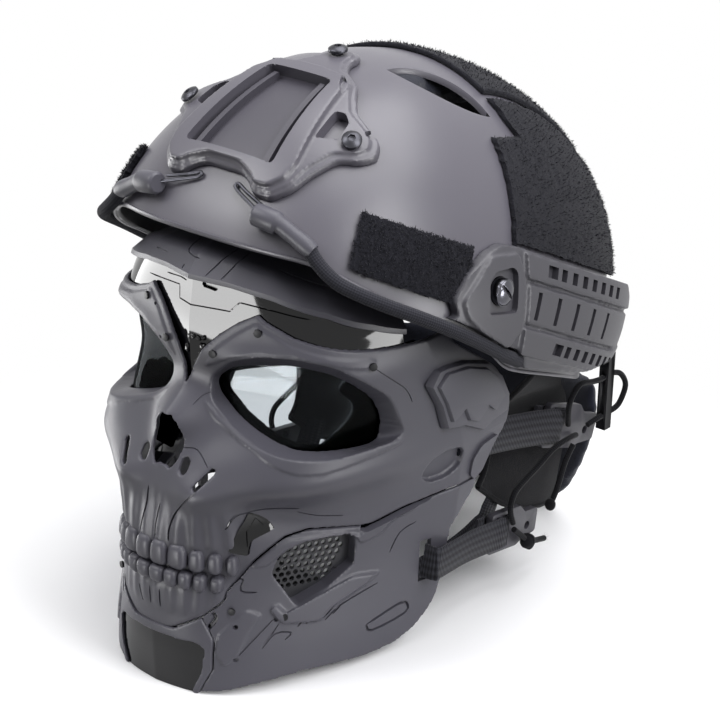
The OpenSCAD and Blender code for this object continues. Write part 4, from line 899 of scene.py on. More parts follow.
def to_front(points):
    return [(face(t, z, 0).x, z) for t, z in points]
sill = to_front([(.60, 47), (.635, 41.5), (.80, 53.5), (.86, 51.5), (.845, 47.5), (.77, 39.8), (.745, 33.5),
                 (.64, 36.5), (.585, 45)])
brow_of_guard = to_front([(.50, 70), (.56, 78), (.62, 82), (.70, 81.5), (.76, 80), (.80, 75.5), (.83, 80),
                          (.87, 86), (.93, 88), (.93, 84), (.88, 81), (.85, 74), (.81, 71.5), (.79, 78),
                          (.73, 80), (.66, 80), (.60, 76.5), (.55, 70)])
chin_corner = to_front([(.41, 24), (.405, 34), (.46, 42), (.50, 46.5), (.555, 43), (.52, 34), (.50, 22),
                        (.45, 17)])
guard = join(guard, [collar, guard_layer(soften(sill, 1, 2), 1.9), guard_layer(soften(brow_of_guard, 1, 2),
        1.3), guard_layer(soften(chin_corner, 1.5, 2), 1.2)])
moulded(guard, 0.75, 120000)

# %% Lines, ribs and slots of the guard
def guard_at(t, z, off):
    return face(t, z, off + GUARD_LIFT)
GUARD_LINES = [([(.445, 63.5), (.462, 63.2), (.458, 57), (.515, 55.2)], 1.0, 0.9),
               ([(.578, 24.4), (.607, 31.3), (.657, 30.2), (.644, 26.9)], 0.9, 0.8),
               ([(.496, 22), (.54, 30), (.588, 39)], 0.9, 0.8), ([(.578, 24.4), (.611, 36.3)], 0.9, 0.8),
               ([(.852, 22.7), (.908, 28.4), (.929, 27.8), (.931, 22.1), (.87, 18.4), (.852, 22.7)], 1.3,
                1.3), ([(.863, 60.7), (.881, 71.1), (.916, 75.1)], 0.8, 0.7),
               ([(.744, 32.4), (.772, 38.5), (.851, 45.1)], 1.0, 0.8),
               ([(.36, 46.5), (.374, 42.1), (.33, 35.5), (.309, 32.9)], 2.2, 2.0)]
for path, width, depth in GUARD_LINES:
    cut(guard, groove(path, width * 1.25, depth * 1.2, guard_at, per_leg=3))
cut(guard, groove([(.79, 79.5), (.84, 82.5), (.89, 86), (.95, 88.2)], 4.6, 4, guard_at, per_leg=3))
for i in range(5):
    cut(guard, groove([(.672 + .022 * i, 32.5 + 0.5 * i), (.69 + .022 * i, 38 + 0.5 * i)], 1.3, 1.2,
                      guard_at, per_leg=2))
for t, z in [(.465, 38.3), (.599, 39), (.488, 20)]:
    cut(guard, rod(guard_at(t, z, 2), guard_at(t, z, -0.9), 1.3, 16))
cut(guard, prism("strap_slot", [(-45, 38), (-38.2, 38), (-38.2, 62), (-45, 62)], at_side, 60, 110))
dress_pair(guard, "jaw_guard_", matt_abs, "mask", "cheek_guard_", 32)

# %% Perforated mesh behind the window
MESH_PITCH, HOLE_R = 3.9, 1.45
plate = prism("plate", grown(window_edge, -0.3), on_cheek, -8.6, -7)
holes = []
for i in range(-6, 7):
    for j in range(-5, 6):
        u, v = (i + (abs(j) % 2) / 2) * MESH_PITCH, j * MESH_PITCH * math.sin(math.pi / 3)
        if -17 + v / 5 < u < 21 - abs(v - 4) / 2 and -13 < v < 14.5:
            ring = [(u + HOLE_R * math.cos(math.pi * k / 6), v + HOLE_R * math.sin(math.pi * k / 6))
                    for k in range(12)]
            holes.append(prism("hole", ring, on_cheek, -12, -3))
cut(plate, join(holes[0], holes[1:]))

# %% Dark liner behind the line between skull and guard
def parting(t, k, off):
    return face(t, on_line(GUARD_LINE, face(t, 80, 0).x) - 5 + 9 * k, off)
liner = slab("liner", parting, spaced(.42, .985, 1.6, 80), even(0, 1, 0.2), -4.2, -3.0)
dress_pair(liner, "parting_liner_", polished_abs, "mask", None, 40)
dress_pair(plate, "mesh_plate_", mesh_abs, "mask", "cheek_mesh_", 30)

# %% Gloss chin in its faceted frame
def chin_at(t, z, off):
    return face(t, z, off - 0.4)
chin_region = mirrored_outline(CHIN_EDGE[1:])
chin_cols = spaced(-.5, .5, 1.3, 20)
chin = cut_patch(chin_at, chin_cols, even(0, 44, 1.3), -WALL_M, 0, chin_region, in_front, 0, -230)
frame_hole = mirrored_outline([(7, 30.5), (24, 29.5), (28.6, 26.5), (27, 12), (23, 3), (20, -6), (4, -6)])
chin_frame = cut_patch(chin_at, chin_cols, even(0, 44, 1.3), -1.0, 1.5, grown(chin_region, -0.3), in_front,
                       0, -230)
cut(chin_frame, prism("hole", soften(frame_hole, 2, 2), in_front, 0, -230))
moulded(chin_frame, 0.7, 60000)
dress(chin, "chin_gloss_insert", polished_abs, "mask", ["chin_insert"], 30)
dress(chin_frame, "chin_frame", matt_abs, "mask", (), 32)

# %% [markdown]
# ## Small mask pieces
# Behind each eye is a clear lens on a soft foam ring. The plate at each temple is a raised, stepped field
# on a bevelled base, and a gloss block fills the corner between the teeth and the guard.

# %% Lenses
def plain_face(t, z, off):
    return face(t, z, off, 0)
pane = slab("pane", plain_face, spaced(.06, 1, 2.5, 150), even(124, 178, 2.5), -12.2, -10.2)
dress_pair(pane, "eye_lens_", lens_clear, "mask", "lens_", 30)

# %% Foam: a ring round each eye, a band over the brow and pads on the cheeks
def ring_outline(scale, down):
    middle = Vector((50, 154))
    return [tuple(middle + (Vector(p) - middle) * scale + Vector((0, down))) for p in soften(EYE_FLOOR, 6, 3)]
def foam_ring():
    inner, outer = ring_outline(0.96, 0), ring_outline(1.14, -1)
    points = []
    for p, q in zip(inner, outer):
        for (x, z), off in ((p, -12.6), (p, -16.5), (q, -16.5), (q, -12.6)):
            points.append(face(min(face_share(x, z), 1.05), z, off, 0))
    return outward(solid("ring", points, ring_faces(len(inner), 4)))
rings = both_sides(foam_ring())
band = slab("band", plain_face, spaced(-.9, .9, 3, 190), even(184, 200, 2), -11.7, -5.7)
cheeks = both_sides(slab("cheek", face, spaced(.72, .99, 3, 110), even(100, 122, 2), -9.9, -3.9))
face_pad = join(rings[0], [rings[1], band] + cheeks)
finish_modifier(face_pad, "REMESH", mode="VOXEL", voxel_size=1.1 * MM)
finish_modifier(face_pad, "SMOOTH", factor=0.5, iterations=4)
dress(face_pad, "face_foam_lining", foam, "mask", ["face_foam"], 60)

# %% Temple plates and gloss blocks at the corners of the mouth
PLATE_X = 90.9
def shrunk(outline, by):
    middle = Vector((sum(p[0] for p in outline), sum(p[1] for p in outline))) / len(outline)
    return [tuple(Vector(p) + (middle - Vector(p)).normalized() * by) for p in outline]
plate_edge = [(-59, 158), (-53, 165), (-46, 165), (-30, 163), (-9, 156), (4, 144), (11, 131), (10, 122),
              (-3, 120), (-11, 117), (-28, 125), (-44, 129), (-50, 144)]
raised_edge = [(-55, 157), (-48, 162.5), (-30, 160.5), (-12, 154), (-3, 146), (4, 133), (-4, 127),
               (-10, 132), (-19, 125.5), (-27, 128.5), (-32, 137), (-42, 133), (-48, 146)]
plate = prism("plate", plate_edge, at_side, PLATE_X - 2, PLATE_X + 2.4, shrunk(plate_edge, 1.6))
raised = prism("raised", raised_edge, at_side, PLATE_X + 1.2, PLATE_X + 4.4, shrunk(raised_edge, 1.2))
plate = bevelled(join(plate, [raised]), 0.3, 2, 30)
dress_pair(plate, "temple_plates_", matt_abs, "mask", "temple_plate_", 32)

BLOCK_LIFT = 1.0
def block_at(t, z, off):
    return face(t, z, off + BLOCK_LIFT)
block_edge = to_front([(.41, 80.1), (.449, 91.4), (.501, 101), (.54, 95.2), (.563, 88.6), (.49, 84.9),
                       (.48, 76.8)])
block = cut_patch(face, spaced(.40, .575, 1.2, 90), even(76, 101, 1.2), -2.0, BLOCK_LIFT,
                  soften(block_edge, 1, 2), in_front, 60, -230)
cut(block, groove([(.475, 82), (.474, 90), (.512, 97), (.53, 92)], 0.9, 0.8, block_at, per_leg=1))
dress_pair(block, "cheek_block_", polished_abs, "mask", "cheek_insert_", 30)

# %% [markdown]
# ## Helmet shell
# The shell is a smooth nylon dome, so it needs a close grid and nothing else: its beauty is the clean
# reflection. Four leaf-shaped vents are cut through it, and a thin bead runs round the rim, where the wall
# turns in. The inside is a darker, unpainted nylon, so its faces get a second material.

# %% Shell
RIM = [(0, 13.5), (27, 13), (38, 9.5), (50, 5), (64, 1), (72, -2.5), (80, -8.5), (92, -11), (130, -16.5),
       (180, -19)]
def rim_el(az):
    return on_line(RIM, abs((az + 180) % 360 - 180))

def smooth_rim(az):
    return sum(rim_el(az + d) for d in (-4, -2, 0, 2, 4)) / 5

def shell_rows(off, rows, ring):
    return [[dome(az, smooth_rim(az) + (90 - smooth_rim(az)) * k, off) for az in ring] for k in rows]

m = 144
ring = [360 / m * i for i in range(m)]
rows = [0, .004, .012] + [i / 56 for i in range(2, 56)]
outer, inner = shell_rows(0, rows, ring), shell_rows(-WALL, rows, ring)
outer[0] = [a.lerp(b, 0.28) for a, b in zip(outer[0], inner[0])]
inner[0] = [a.lerp(b, 0.28) for a, b in zip(inner[0], outer[0])]
points = [p for r in outer for p in r] + [p for r in inner for p in r] + [dome(0, 90, 0), dome(0, 90, -WALL)]
n = len(rows) * m
faces = []
for i in range(len(rows) - 1):
    for j in range(m):
        a, b = i * m + j, i * m + (j + 1) % m
        faces += [(a, a + m, b + m, b), (n + a, n + b, n + b + m, n + a + m)]
for j in range(m):
    k, last = (j + 1) % m, n - m
    faces += [(last + j, 2 * n, last + k), (n + last + j, n + last + k, 2 * n + 1), (j, k, n + k, n + j)]
shell = outward(solid("shell", points, faces))

VENT_HALF_LEN, VENT_HALF_W = 28, 11
def vent(x, y, turn):
    bow = (VENT_HALF_LEN ** 2 + VENT_HALF_W ** 2) / (2 * VENT_HALF_W)
    tip = math.asin(VENT_HALF_LEN / bow)
    arc = [(bow * math.sin(w), bow * math.cos(w) - (bow - VENT_HALF_W)) for w in even(-tip, tip, tip / 12)]
    leaf = arc + [(-u, -v) for u, v in arc[1:-1]]
    a = math.radians(turn)
    return [(x + u * math.cos(a) - v * math.sin(a), y + u * math.sin(a) + v * math.cos(a)) for u, v in leaf]
def from_above(u, v, d):
    return rig((u, v, d))
for x, y, turn in ((42, -17, 42), (44, 84, 125)):
    cut(shell, both_sides(prism("vent", vent(x, y, turn), from_above, 30, 150)))
bevelled(shell, 0.5, 2, 50)
dress(shell, "helmet_shell_moulding", satin_nylon, "helmet", ["helmet_shell"], 40)
shell.data.materials.append(black_nylon)
heart = Vector((0, 0, DOME_Z)) * MM
for polygon in shell.data.polygons:
    if polygon.normal.dot(polygon.center - heart) < 0:
        polygon.material_index = 1

# %% Bead round the rim
bead_points = []
for az in ring:
    middle = dome(az, smooth_rim(az) + 0.15, -0.4)
    out = (dome(az, smooth_rim(az), 1) - dome(az, smooth_rim(az), 0)).normalized()
    turns = [2 * math.pi * k / 8 for k in range(8)]
    bead_points += [middle + out * math.cos(a) + Vector((0, 0, 1.3 * math.sin(a))) for a in turns]
rim_bead = outward(solid("bead", bead_points, ring_faces(m, 8)))
dress(rim_bead, "rim_bead", satin_nylon, "helmet", (), 60)

# %% [markdown]
# ## Mount shroud
# The shroud is a bolted-on frame for a lamp or camera: a thick plate over the brow with a deep window, two
# ears and a tongue. Its sides slope, so it is drawn on a plane that leans with the brow and cut from a
# thick patch of dome.

# %% Shroud
SHROUD = [(0, -35), (12, -36), (19, -40), (23, -44), (33, -43), (40, -35), (44, -24), (50, -10), (58, -4),
          (62, 4), (59, 12), (50, 16), (41, 20), (33, 30), (28, 38), (15, 46), (10, 54), (9, 63), (5, 67),
          (0, 68)]
def brow_prism(outline):
    return prism("cutter", outline, brow_slope, -60, 40)
def dome_patch(outline, low, high, az=46, el=(16, 74), step=1.4):
    """A patch of the dome between two lifts, cut to an outline on the brow's plane."""
    sheet = slab("sheet", dome, even(-az, az, step), even(*el, step), low, high)
    return cut(sheet, brow_prism(outline), "INTERSECT")
full = soften(mirrored_outline(SHROUD[1:-1]), 3, 3)
window = soften([(-28, -30.5), (28, -30.5), (20, 30.5), (-20, 30.5)], 3, 3)
shroud = dome_patch(full, 0.3, 4.0)
rim_inner = soften(mirrored_outline([(11, -34.4), (19.5, -38.9), (23.5, -42.8), (32.6, -41.8), (39, -34.2),
                                     (42, -22), (47.5, -8.5), (56.5, -1.5), (58.5, 4.5), (56, 9.6),
                                     (48.8, 13.4), (39, 17.6), (31, 28), (26.4, 36), (13.6, 44), (8, 53),
                                     (7, 61.6), (4, 64.6)]), 2, 2)
window_frame = soften(mirrored_outline([(10, -34), (20, -38.3), (24, -41.6), (31.5, -40.6), (37, -33.5),
                                        (38, -24), (32, 8), (27, 33), (22, 37.5), (8, 39)]), 2, 2)
shroud = join(shroud, [dome_patch(rim_inner, 3.2, 5.6), dome_patch(window_frame, 5, 8.6)])
moulded(shroud, 0.85, 500000, 1)
cut(shroud, brow_prism(window))
for s in (-1, 1):
    ear = [(35.5, -6), (45.5, -1), (43.5, 11), (38.5, 15.5), (33.5, 14)]
    ear = [(s * x, z) for x, z in (ear if s > 0 else reversed(ear))]
    cut(shroud, brow_prism(soften(ear, 1.5, 2)))
tongue = soften([(-4.5, 50), (4.5, 50), (3.8, 62), (-3.8, 62)], 1, 2)
cut(shroud, dome_patch(tongue, 6.4, 12, 20, (60, 90)))
for s in (-1, 1):
    side_slot = soften([(s * 20.5, 38), (s * 26.5, 34), (s * 31, 27), (s * 28.4, 25.6), (s * 24, 31)][::s],
                       1, 2)
    cut(shroud, dome_patch(side_slot, 6.2, 12))
def shroud_screw(s):
    if s == 0:
        return dome_top(0, -50, 0), (dome_top(0, -50, 1) - dome_top(0, -50, 0)).normalized()
    x, z = s * 52, 89
    room = max(1 - (z / RISE) ** 2, 0) ** (SQUARE / 2)
    p = rig((x, -HALF_L * (room - abs(x / HALF_W) ** SQUARE) ** (1 / SQUARE), z))
    turn, el = math.radians(s * 30), math.radians(42)
    return p, (rig((math.sin(turn) * math.cos(el), -math.cos(turn) * math.cos(el), math.sin(el)))
               - rig((0, 0, 0))).normalized()
for s in (-1, 0, 1):
    p, out = shroud_screw(s)
    cut(shroud, rod(p - out * 12, p + out * 30, 2.8))
finish_modifier(shroud, "SMOOTH", factor=0.4, iterations=2)
thinned(shroud, 150000)
dress(shroud, "shroud_moulding", satin_nylon, "helmet", ["mount_shroud"], 32)

# %% Plate on the window's floor, with the inner side rails
floor_plate = dome_patch(window, 0.3, 1.6, 22, (20, 68), 1.6)
bars = []
for s in (-1, 1):
    strip = [(s * 20, -28.5), (s * 23.4, -28.5), (s * 16.4, 28.5), (s * 13.4, 28.5)][::s]
    bars.append(dome_patch(strip, 1.2, 5.4, 22, (20, 68), 1.6))
floor_plate = bevelled(join(floor_plate, bars), 0.4, 1, 50)
# The floor plate's darker colour is painted shade of the deep window.
dress(floor_plate, "shroud_floor", painted_shade_nylon, "helmet", ["shroud_plate"], 32)

# %% [markdown]
# ## Side rails
# A rail is a long moulded plate that hugs the side of the shell, with toothed dovetail edges, a slotted
# panel and a square pocket round its big bolt. The plate is cut from a patch of dome that stands off
# further towards the back; borders and nose are thicker layers of the same patch, so every step in the
# surface is a real one.

# %% Rail surface and outlines
RAIL_T, RAIL_FRONT, RAIL_LEN, RAIL_H, RAIL_SLOPE = 8, -69, 180, 54, 0.24
def rail_z(y):
    return 14.5 - RAIL_SLOPE * y

def rail_at(y, z, off):
    """off is measured from the rail's outer face; below -RAIL_T it is the side next to the shell."""
    if off <= -RAIL_T:
        return dome_side(y, z, 0.6)
    return dome_side(y, z, RAIL_T + 5 * (max(y, 0) / 110) ** 2 + off)

BUNGEE = [(25.1, 15.8, 4.6), (27.9, 13, 3.8), (31.7, 10.5, 3.8), (36.5, 8.9, 3.8), (42.4, 7.4, 3.8),
          (48.9, 5.8, 3.8), (56.1, 3.8, 3.8), (63.3, 1.4, 3.8), (70.7, -1.4, 3.8), (76.7, -3.8, 3.8),
          (80.7, -5.1, 3.8), (83, -5.9, 3.8)]
def in_helmet(az, el, off):
    a, e = math.radians(az), math.radians(el)
    d = Vector((math.sin(a) * math.cos(e), -math.cos(a) * math.cos(e), math.sin(e)))
    return d / in_dome(*d, off)
under_cord = [(p.y, p.z + 5) for p in [in_helmet(*d) for d in reversed(BUNGEE[6:])]]
back, h = RAIL_FRONT + RAIL_LEN, RAIL_H / 2
rail_edge = [(RAIL_FRONT, 22), (RAIL_FRONT + 9, 34), (-45, rail_z(-45) + h - 8), (-34, rail_z(-34) + h - 2),
             (-22, rail_z(-22) + h - 1), (back - 14, rail_z(back) + h), (back - 5, rail_z(back) + h - 6),
             (back, rail_z(back) + 12), (back - 5, rail_z(back) - 8), (back - 14, rail_z(back) - 15),
             (60, rail_z(60) - h), (-9, rail_z(-9) - h - 6)] + under_cord + [(RAIL_FRONT + 3, 13)]
rail_edge = soften(rail_edge, 2.5, 3)

def along_rail(points):
    """Outline given as distance along the rail and height over its middle line."""
    return [(y, rail_z(y) + v) for y, v in points]

def rail_patch(outline, low, high, step=2.2, margin=2):
    ys, zs = [p[0] for p in outline], [p[1] for p in outline]
    us, vs = even(min(ys) - margin, max(ys) + margin, step), even(min(zs) - margin, max(zs) + margin, step)
    return cut_patch(rail_at, us, vs, low, high, outline, helmet_side, 20, 150)

# %% Rail body
nose_edge = soften([(-65.5, 22), (-57.5, 31), (-46, rail_z(-46) + 17.5), (-25, rail_z(-25) + 23),
                    (-20.5, rail_z(-20.5) + 12), (-20.5, rail_z(-20.5) - 14), (-30, rail_z(-30) - 25),
                    (-52, 6.5), (-62.5, 14)], 2.5, 3)
rail = rail_patch(rail_edge, -RAIL_T, -2.2)
top_band = along_rail([(-19, 12.4), (back - 3.5, 12.4), (back - 6, 19.5), (back - 14.5, 25.5), (-19, 25.0)])
low_band = along_rail([(-19, -26.4), (60, -25.4), (back - 15, -16), (back - 6, -9.5),
                       (back - 4.5, -12.4 + 4), (84, -12.4), (-19, -12.4)])
panel = along_rail([(-17, -9.8), (back - 8, -9.8), (back - 4.5, 0), (back - 5.5, 9.8), (-17, 9.8)])
rail = join(rail, [rail_patch(soften(top_band, 1.2, 2), -4, 0), rail_patch(soften(low_band, 1.2, 2), -4, 0),
                   rail_patch(nose_edge, -4, -0.2), rail_patch(soften(panel, 1.2, 2), -4, -0.6)])
moulded(rail, 0.9, 400000, 1)

# %% Teeth, slots and the bolt's pocket
def rail_box(y, dz, wide, tall, high=3, low=-3.2):
    a = math.atan(RAIL_SLOPE)
    ring = []
    for u, v in ((-wide / 2, -tall / 2), (wide / 2, -tall / 2), (wide / 2, tall / 2), (-wide / 2, tall / 2)):
        ring.append((y + u * math.cos(a) + v * math.sin(a), rail_z(y) + dz - u * math.sin(a) + v
                     * math.cos(a)))
    return rail_patch(ring, low, high, 2, 1)
for i in range(8):
    for e in (-1, 1):
        cut(rail, rail_box(9 - 6 * e + 10.4 * i, e * 19, 9 if i == 0 else 5, 6, 3, -3.6))
for i in range(5):
    cut(rail, rail_box(-9 + 18.5 * i, 0, 3.4, 14, 4, -12))
pocket = [(-48.5, 15), (-28, 15), (-27.5, 19), (-27.5, 35), (-31, 37.5), (-44.5, 35.8), (-49, 31)]
cut(rail, cut_patch(rail_at, even(-51, -25, 2), even(13, 39, 2), -3.4, 3, soften(pocket, 2, 3), helmet_side,
                    20, 150))
BOLT = dome_side(-38, 25.5, RAIL_T)
cut(rail, rod(BOLT - Vector((14, 0, 0)), BOLT + Vector((14, 0, 0)), 7.3, 40))
thinned(rail, 130000)
backing = rail_patch(panel, -RAIL_T + 0.1, -RAIL_T + 1.2)
dress_pair(backing, "rail_backing_", black_nylon, "helmet", None, 40)
dress_pair(rail, "side_rail_", rail_nylon, "helmet", "rail_", 32)

# %% Slotted bolts of the rails
def bolt():
    base = dome_side(-38, 25.5, 0.3) + Vector((2, 0, 0))
    top = base + Vector((RAIL_T - 2, 0, 0))
    shank = rod(base, top, 7.0, 48)
    dome_head = ball(top - Vector((0.2, 0, 0)), 6.6, (0.36, 1, 1), segments=40)
    cut(shank, dome_head, "UNION")
    slot = solid("slot", [(top.x + a, top.y + b, top.z + c) for a in (0.4, 6) for b in (-0.9, 0.9)
                          for c in (-9, 9)], [(0, 1, 3, 2), (4, 6, 7, 5), (0, 4, 5, 1), (2, 3, 7, 6),
                                              (0, 2, 6, 4), (1, 5, 7, 3)])
    turned = Matrix.Rotation(math.radians(38), 4, "X")
    slot.data.transform(Matrix.Translation(top * MM) @ turned @ Matrix.Translation(-top * MM))
    cut(shank, outward(slot))
    return bevelled(shank, 0.25, 2, 40)
bolts = both_sides(bolt())
for piece, name in zip(bolts, ("left", "right")):
    dress(piece, "rail_bolt_" + name, bright_steel, "helmet", ["rail_bolts"] if name == "left"
          else (), 35)

# %% [markdown]
# ## Pile patches
# Loop pile is a thick felt of tiny loops, so its edge is fuzzy and its face is dull. Each patch is a grid
# on the dome whose points are lifted by a fine noise, and thousands of tiny bent threads stand out of its
# face and edge.

# %% Pile
def pile_patch(name, at, us, vs, outline=None, place=None, low=0.6, high=3.0):
    def fluffy(u, v, off):
        p = at(u, v, off)
        if off < 2:
            return p
        q = p * 0.35
        return at(u, v, off + 0.2 * noise.noise(q) + 0.3 * noise.noise(q * 2.7))
    patch = slab(name, fluffy, us, vs, low, high)
    if outline:
        cut(patch, prism("edge", outline, place, 10, 150), "INTERSECT")
    return bevelled(patch, 0.9, 2, 50)

def fray(outline, amount, seed):
    rng = random.Random(seed)
    out = []
    for i, p in enumerate(outline):
        q = outline[(i + 1) % len(outline)]
        run = math.hypot(q[0] - p[0], q[1] - p[1])
        n = max(1, int(run / 1.6))
        for k in range(n):
            x, y = p[0] + (q[0] - p[0]) * k / n, p[1] + (q[1] - p[1]) * k / n
            out.append((x + rng.uniform(-amount, amount), y + rng.uniform(-amount, amount)))
    return out

TOP_EDGE = Vector((34, 25)), Vector((63, 22))
LOW_EDGE = Vector((33.5, 13.5)), Vector((60, 8.5))
def side_quad(u, v, off):
    az, el = LOW_EDGE[0].lerp(LOW_EDGE[1], u).lerp(TOP_EDGE[0].lerp(TOP_EDGE[1], u), v)
    wave = 0.018 * noise.noise(Vector((u * 30, (1 - v) * 18, 3)))
    return dome(az + 40 * wave, el + 30 * wave, off)
side = pile_patch("side", side_quad, even(0, 1, 1 / 64), even(0, 1, 1 / 34))
cut(side, prism("rail", rail_edge, helmet_side, 60, 140))
dress_pair(side, "side_pile_", loop_pile, "helmet", "side_patch_", 80)

crown_from, crown_len = 10, 76
def crown_half(v):
    return 50 + 15 * v * v
rear_edge = [(-21, 44), (-10, 93), (12.5, 92.5), (crown_from, 100)]
for v in even(0, 1, 1 / 6):
    x, y = crown_half(v) + 1.5, crown_from + crown_len * v
    plan = abs(x / HALF_W) ** SQUARE + abs(y / HALF_L) ** SQUARE
    rear_edge.append((y, RISE * math.sqrt(max(1 - plan ** (2 / SQUARE), 0))))
rear_edge += [(100, 76), (129, 70)] + [(y, rail_z(y) + RAIL_H / 2 + 1) for y in (129, 100, 50, -20)]
rear = pile_patch("rear", dome, even(76, 168, 0.9), even(-4, 74, 0.9), fray(rear_edge, 0.45, 11), helmet_side)
dress_pair(rear, "rear_pile_", loop_pile, "helmet", "rear_patch_", 80)

def crown_patch_at(u, v, off):
    return dome_top(u * crown_half(v), crown_from + crown_len * v + 8 * (1 - u * u) * v, off)
crown = pile_patch("crown", crown_patch_at, even(-1, 1, 1 / 42), even(0, 1, 1 / 50), low=0.3)
dress(crown, "crown_pile", loop_pile, "helmet", ["crown_patch"], 80)

# %% Stray loops of the pile
def stray_loops(places, seed):
    """Tiny bent threads standing on a surface; each place is a foot on the pile and the way out of it."""
    rng = random.Random(seed)
    points, faces = [], []
    for foot, out in places:
        lean = Vector([rng.uniform(-1, 1) for _ in range(3)])
        tilt = (out * rng.uniform(0.1, 1) + lean * 0.8).normalized()
        side = tilt.cross(out).normalized() * 0.17
        size = rng.uniform(0.8, 2.0)
        bent = foot + tilt * size * 0.6
        n = len(points)
        points += [foot - side, foot + side, bent + side, bent - side, foot + tilt * size + lean * 0.2]
        faces += [(n, n + 1, n + 2, n + 3), (n + 3, n + 2, n + 4)]
    return solid("loops", points, faces)

def feet(patch, count, seed):
    """Places on the outer faces of a patch, chosen by area."""
    rng = random.Random(seed)
    outer = [p for p in patch.data.polygons if p.normal.dot(p.center - heart) > 0.004 or p.normal.z > 0.3]
    chosen = rng.choices(outer, [p.area for p in outer], k=count)
    places = []
    for p in chosen:
        astray = Vector([rng.uniform(-0.6, 0.6) for _ in range(3)])
        places.append((p.center / MM + astray - p.normal * 0.3, p.normal.copy()))
    return places
for patch, title, count in ((side, "side_pile_loops_", 4200), (rear, "rear_pile_loops_", 9000)):
    dress_pair(stray_loops(feet(patch, count, 3), 5), title, loop_pile, "helmet", None, 80)
dress(stray_loops(feet(crown, 8000, 4), 6), "crown_pile_loops", loop_pile, "helmet", (), 80)

# %% [markdown]
# ## Brow cords
# A braided elastic cord runs along each side of the rim. A wire hook at its front end catches the shroud's
# edge; the wire goes into a grey barrel, and a tapered sleeve leads the cord out of it. The cord keeps a UV
# map, so the plait can follow it, and the hook is a blackened wire bent from one piece.

# %% Cords and hooks
bungee = sweep("bungee", curve([dome(*d) for d in BUNGEE], 8), round_section(3.5, 20), (0, 0, 1))
dress_pair(bungee, "brow_cord_", braid, "helmet", "bungee_", 60)

BARREL = [dome(12.8, 19.8, 5.8), dome(18.6, 18.9, 5.8)]
WIRE = [(13.3, 20.3, 4.5), (10.4, 21.7, 3), (7.2, 23.1, 2), (5.5, 23.9, 1.6), (4.9, 24.6, 1.6),
        (5.6, 25, 1.6), (8.1, 23.9, 1.8), (10.9, 22.8, 2.2), (13, 21.9, 3.4)]
start = dome(*BUNGEE[0])
pull = (start - BARREL[1]).normalized()
sleeve_route = [BARREL[0].lerp(BARREL[1], k) for k in (0, .06, .12, .5, .88, .94, 1)] + [BARREL[1] + pull
        * 1.5]
sleeve_route += [BARREL[1].lerp(start, k) for k in (.15, .3, .5, .75, .97)] + [start + pull * 3]
radii = [4.4, 5.4, 5.7, 5.7, 5.7, 5.4, 4.5, 4.3, 4.3, 4.3, 4.2, 4.5, 4.5, 3.8]
def sleeve_section(s):
    k = s * (len(radii) - 1)
    i = min(int(k), len(radii) - 2)
    return round_section(radii[i] + (radii[i + 1] - radii[i]) * (k - i), 28)(0)
sleeve = sweep("sleeve", sleeve_route, sleeve_section, (0, 0, 1))
wire = sweep("wire", curve([dome(*d) for d in WIRE], 8), round_section(0.9, 12), (0, 1, 0))
for side, body, sleeve_part, wire_part in zip(("left", "right"), ("hook_l", "hook_r"), both_sides(sleeve),
                                              both_sides(wire)):
    dress(sleeve_part, "hook_sleeve_" + side, matt_abs, body, ["bungee_hook_" + side], 40)
    dress(wire_part, "hook_wire_" + side, black_steel, body, (), 40)

# %% [markdown]
# ## Webbing and laces
# Four short webbing tapes hang from the mask and fold over the bars of plastic adjusters; elastic lace then
# runs from the adjusters to the loops under the helmet. A tape is a flat section swept along its fold, so
# its ribs turn with it. The lace is round and crosses from the mask to the helmet.

# %% Webbing over the adjusters' bars
WEB_W, WEB_T, BUCKLE_T = 22, 1.6, 4
def turned(p, degrees):
    a = math.radians(degrees)
    c, s = math.cos(a), math.sin(a)
    return Vector((p[0], p[1] * c - p[2] * s, p[1] * s + p[2] * c))

def over_bar(length, at, tilt):
    near, far = BUCKLE_T / 2 + WEB_T / 2 + 0.45, -BUCKLE_T / 2 - WEB_T - 0.3
    legs = [(near, -length / 2 - 1, 0), (near, -length / 2 + 11, 0), (BUCKLE_T / 2, -length / 2 + 14.9, 0),
            (-BUCKLE_T / 2, -length / 2 + 15.1, 0), (far, -length / 2 + 11.5, 0), (far, -length / 2 - 6, 0)]
    return [Vector(at) + turned(p, tilt) for p in legs]
upper_web = [(84, -14, 108), (83.4, 8, 104), (82, 40, 96)] + over_bar(52, (78.5, 90, 80.4), -19.4)
lower_web = [(80, -42, 50), (87, -41.5, 50), (88, -37, 49.6), (84, -8, 45.5)] + over_bar(44,
        (78.5, 39, 37.5), -8.2)
for route, wide, up, place in ((upper_web, WEB_W - 1.8, (0, 0.3, 1), "upper_"), (lower_web, WEB_W - 3.8,
        (0, 0.2, 1), "lower_")):
    tape = sweep("tape", curve(route, 8), tape_section(wide, WEB_T), up)
    dress_pair(tape, place + "webbing_", webbing, "mask", place + "web_", 50)

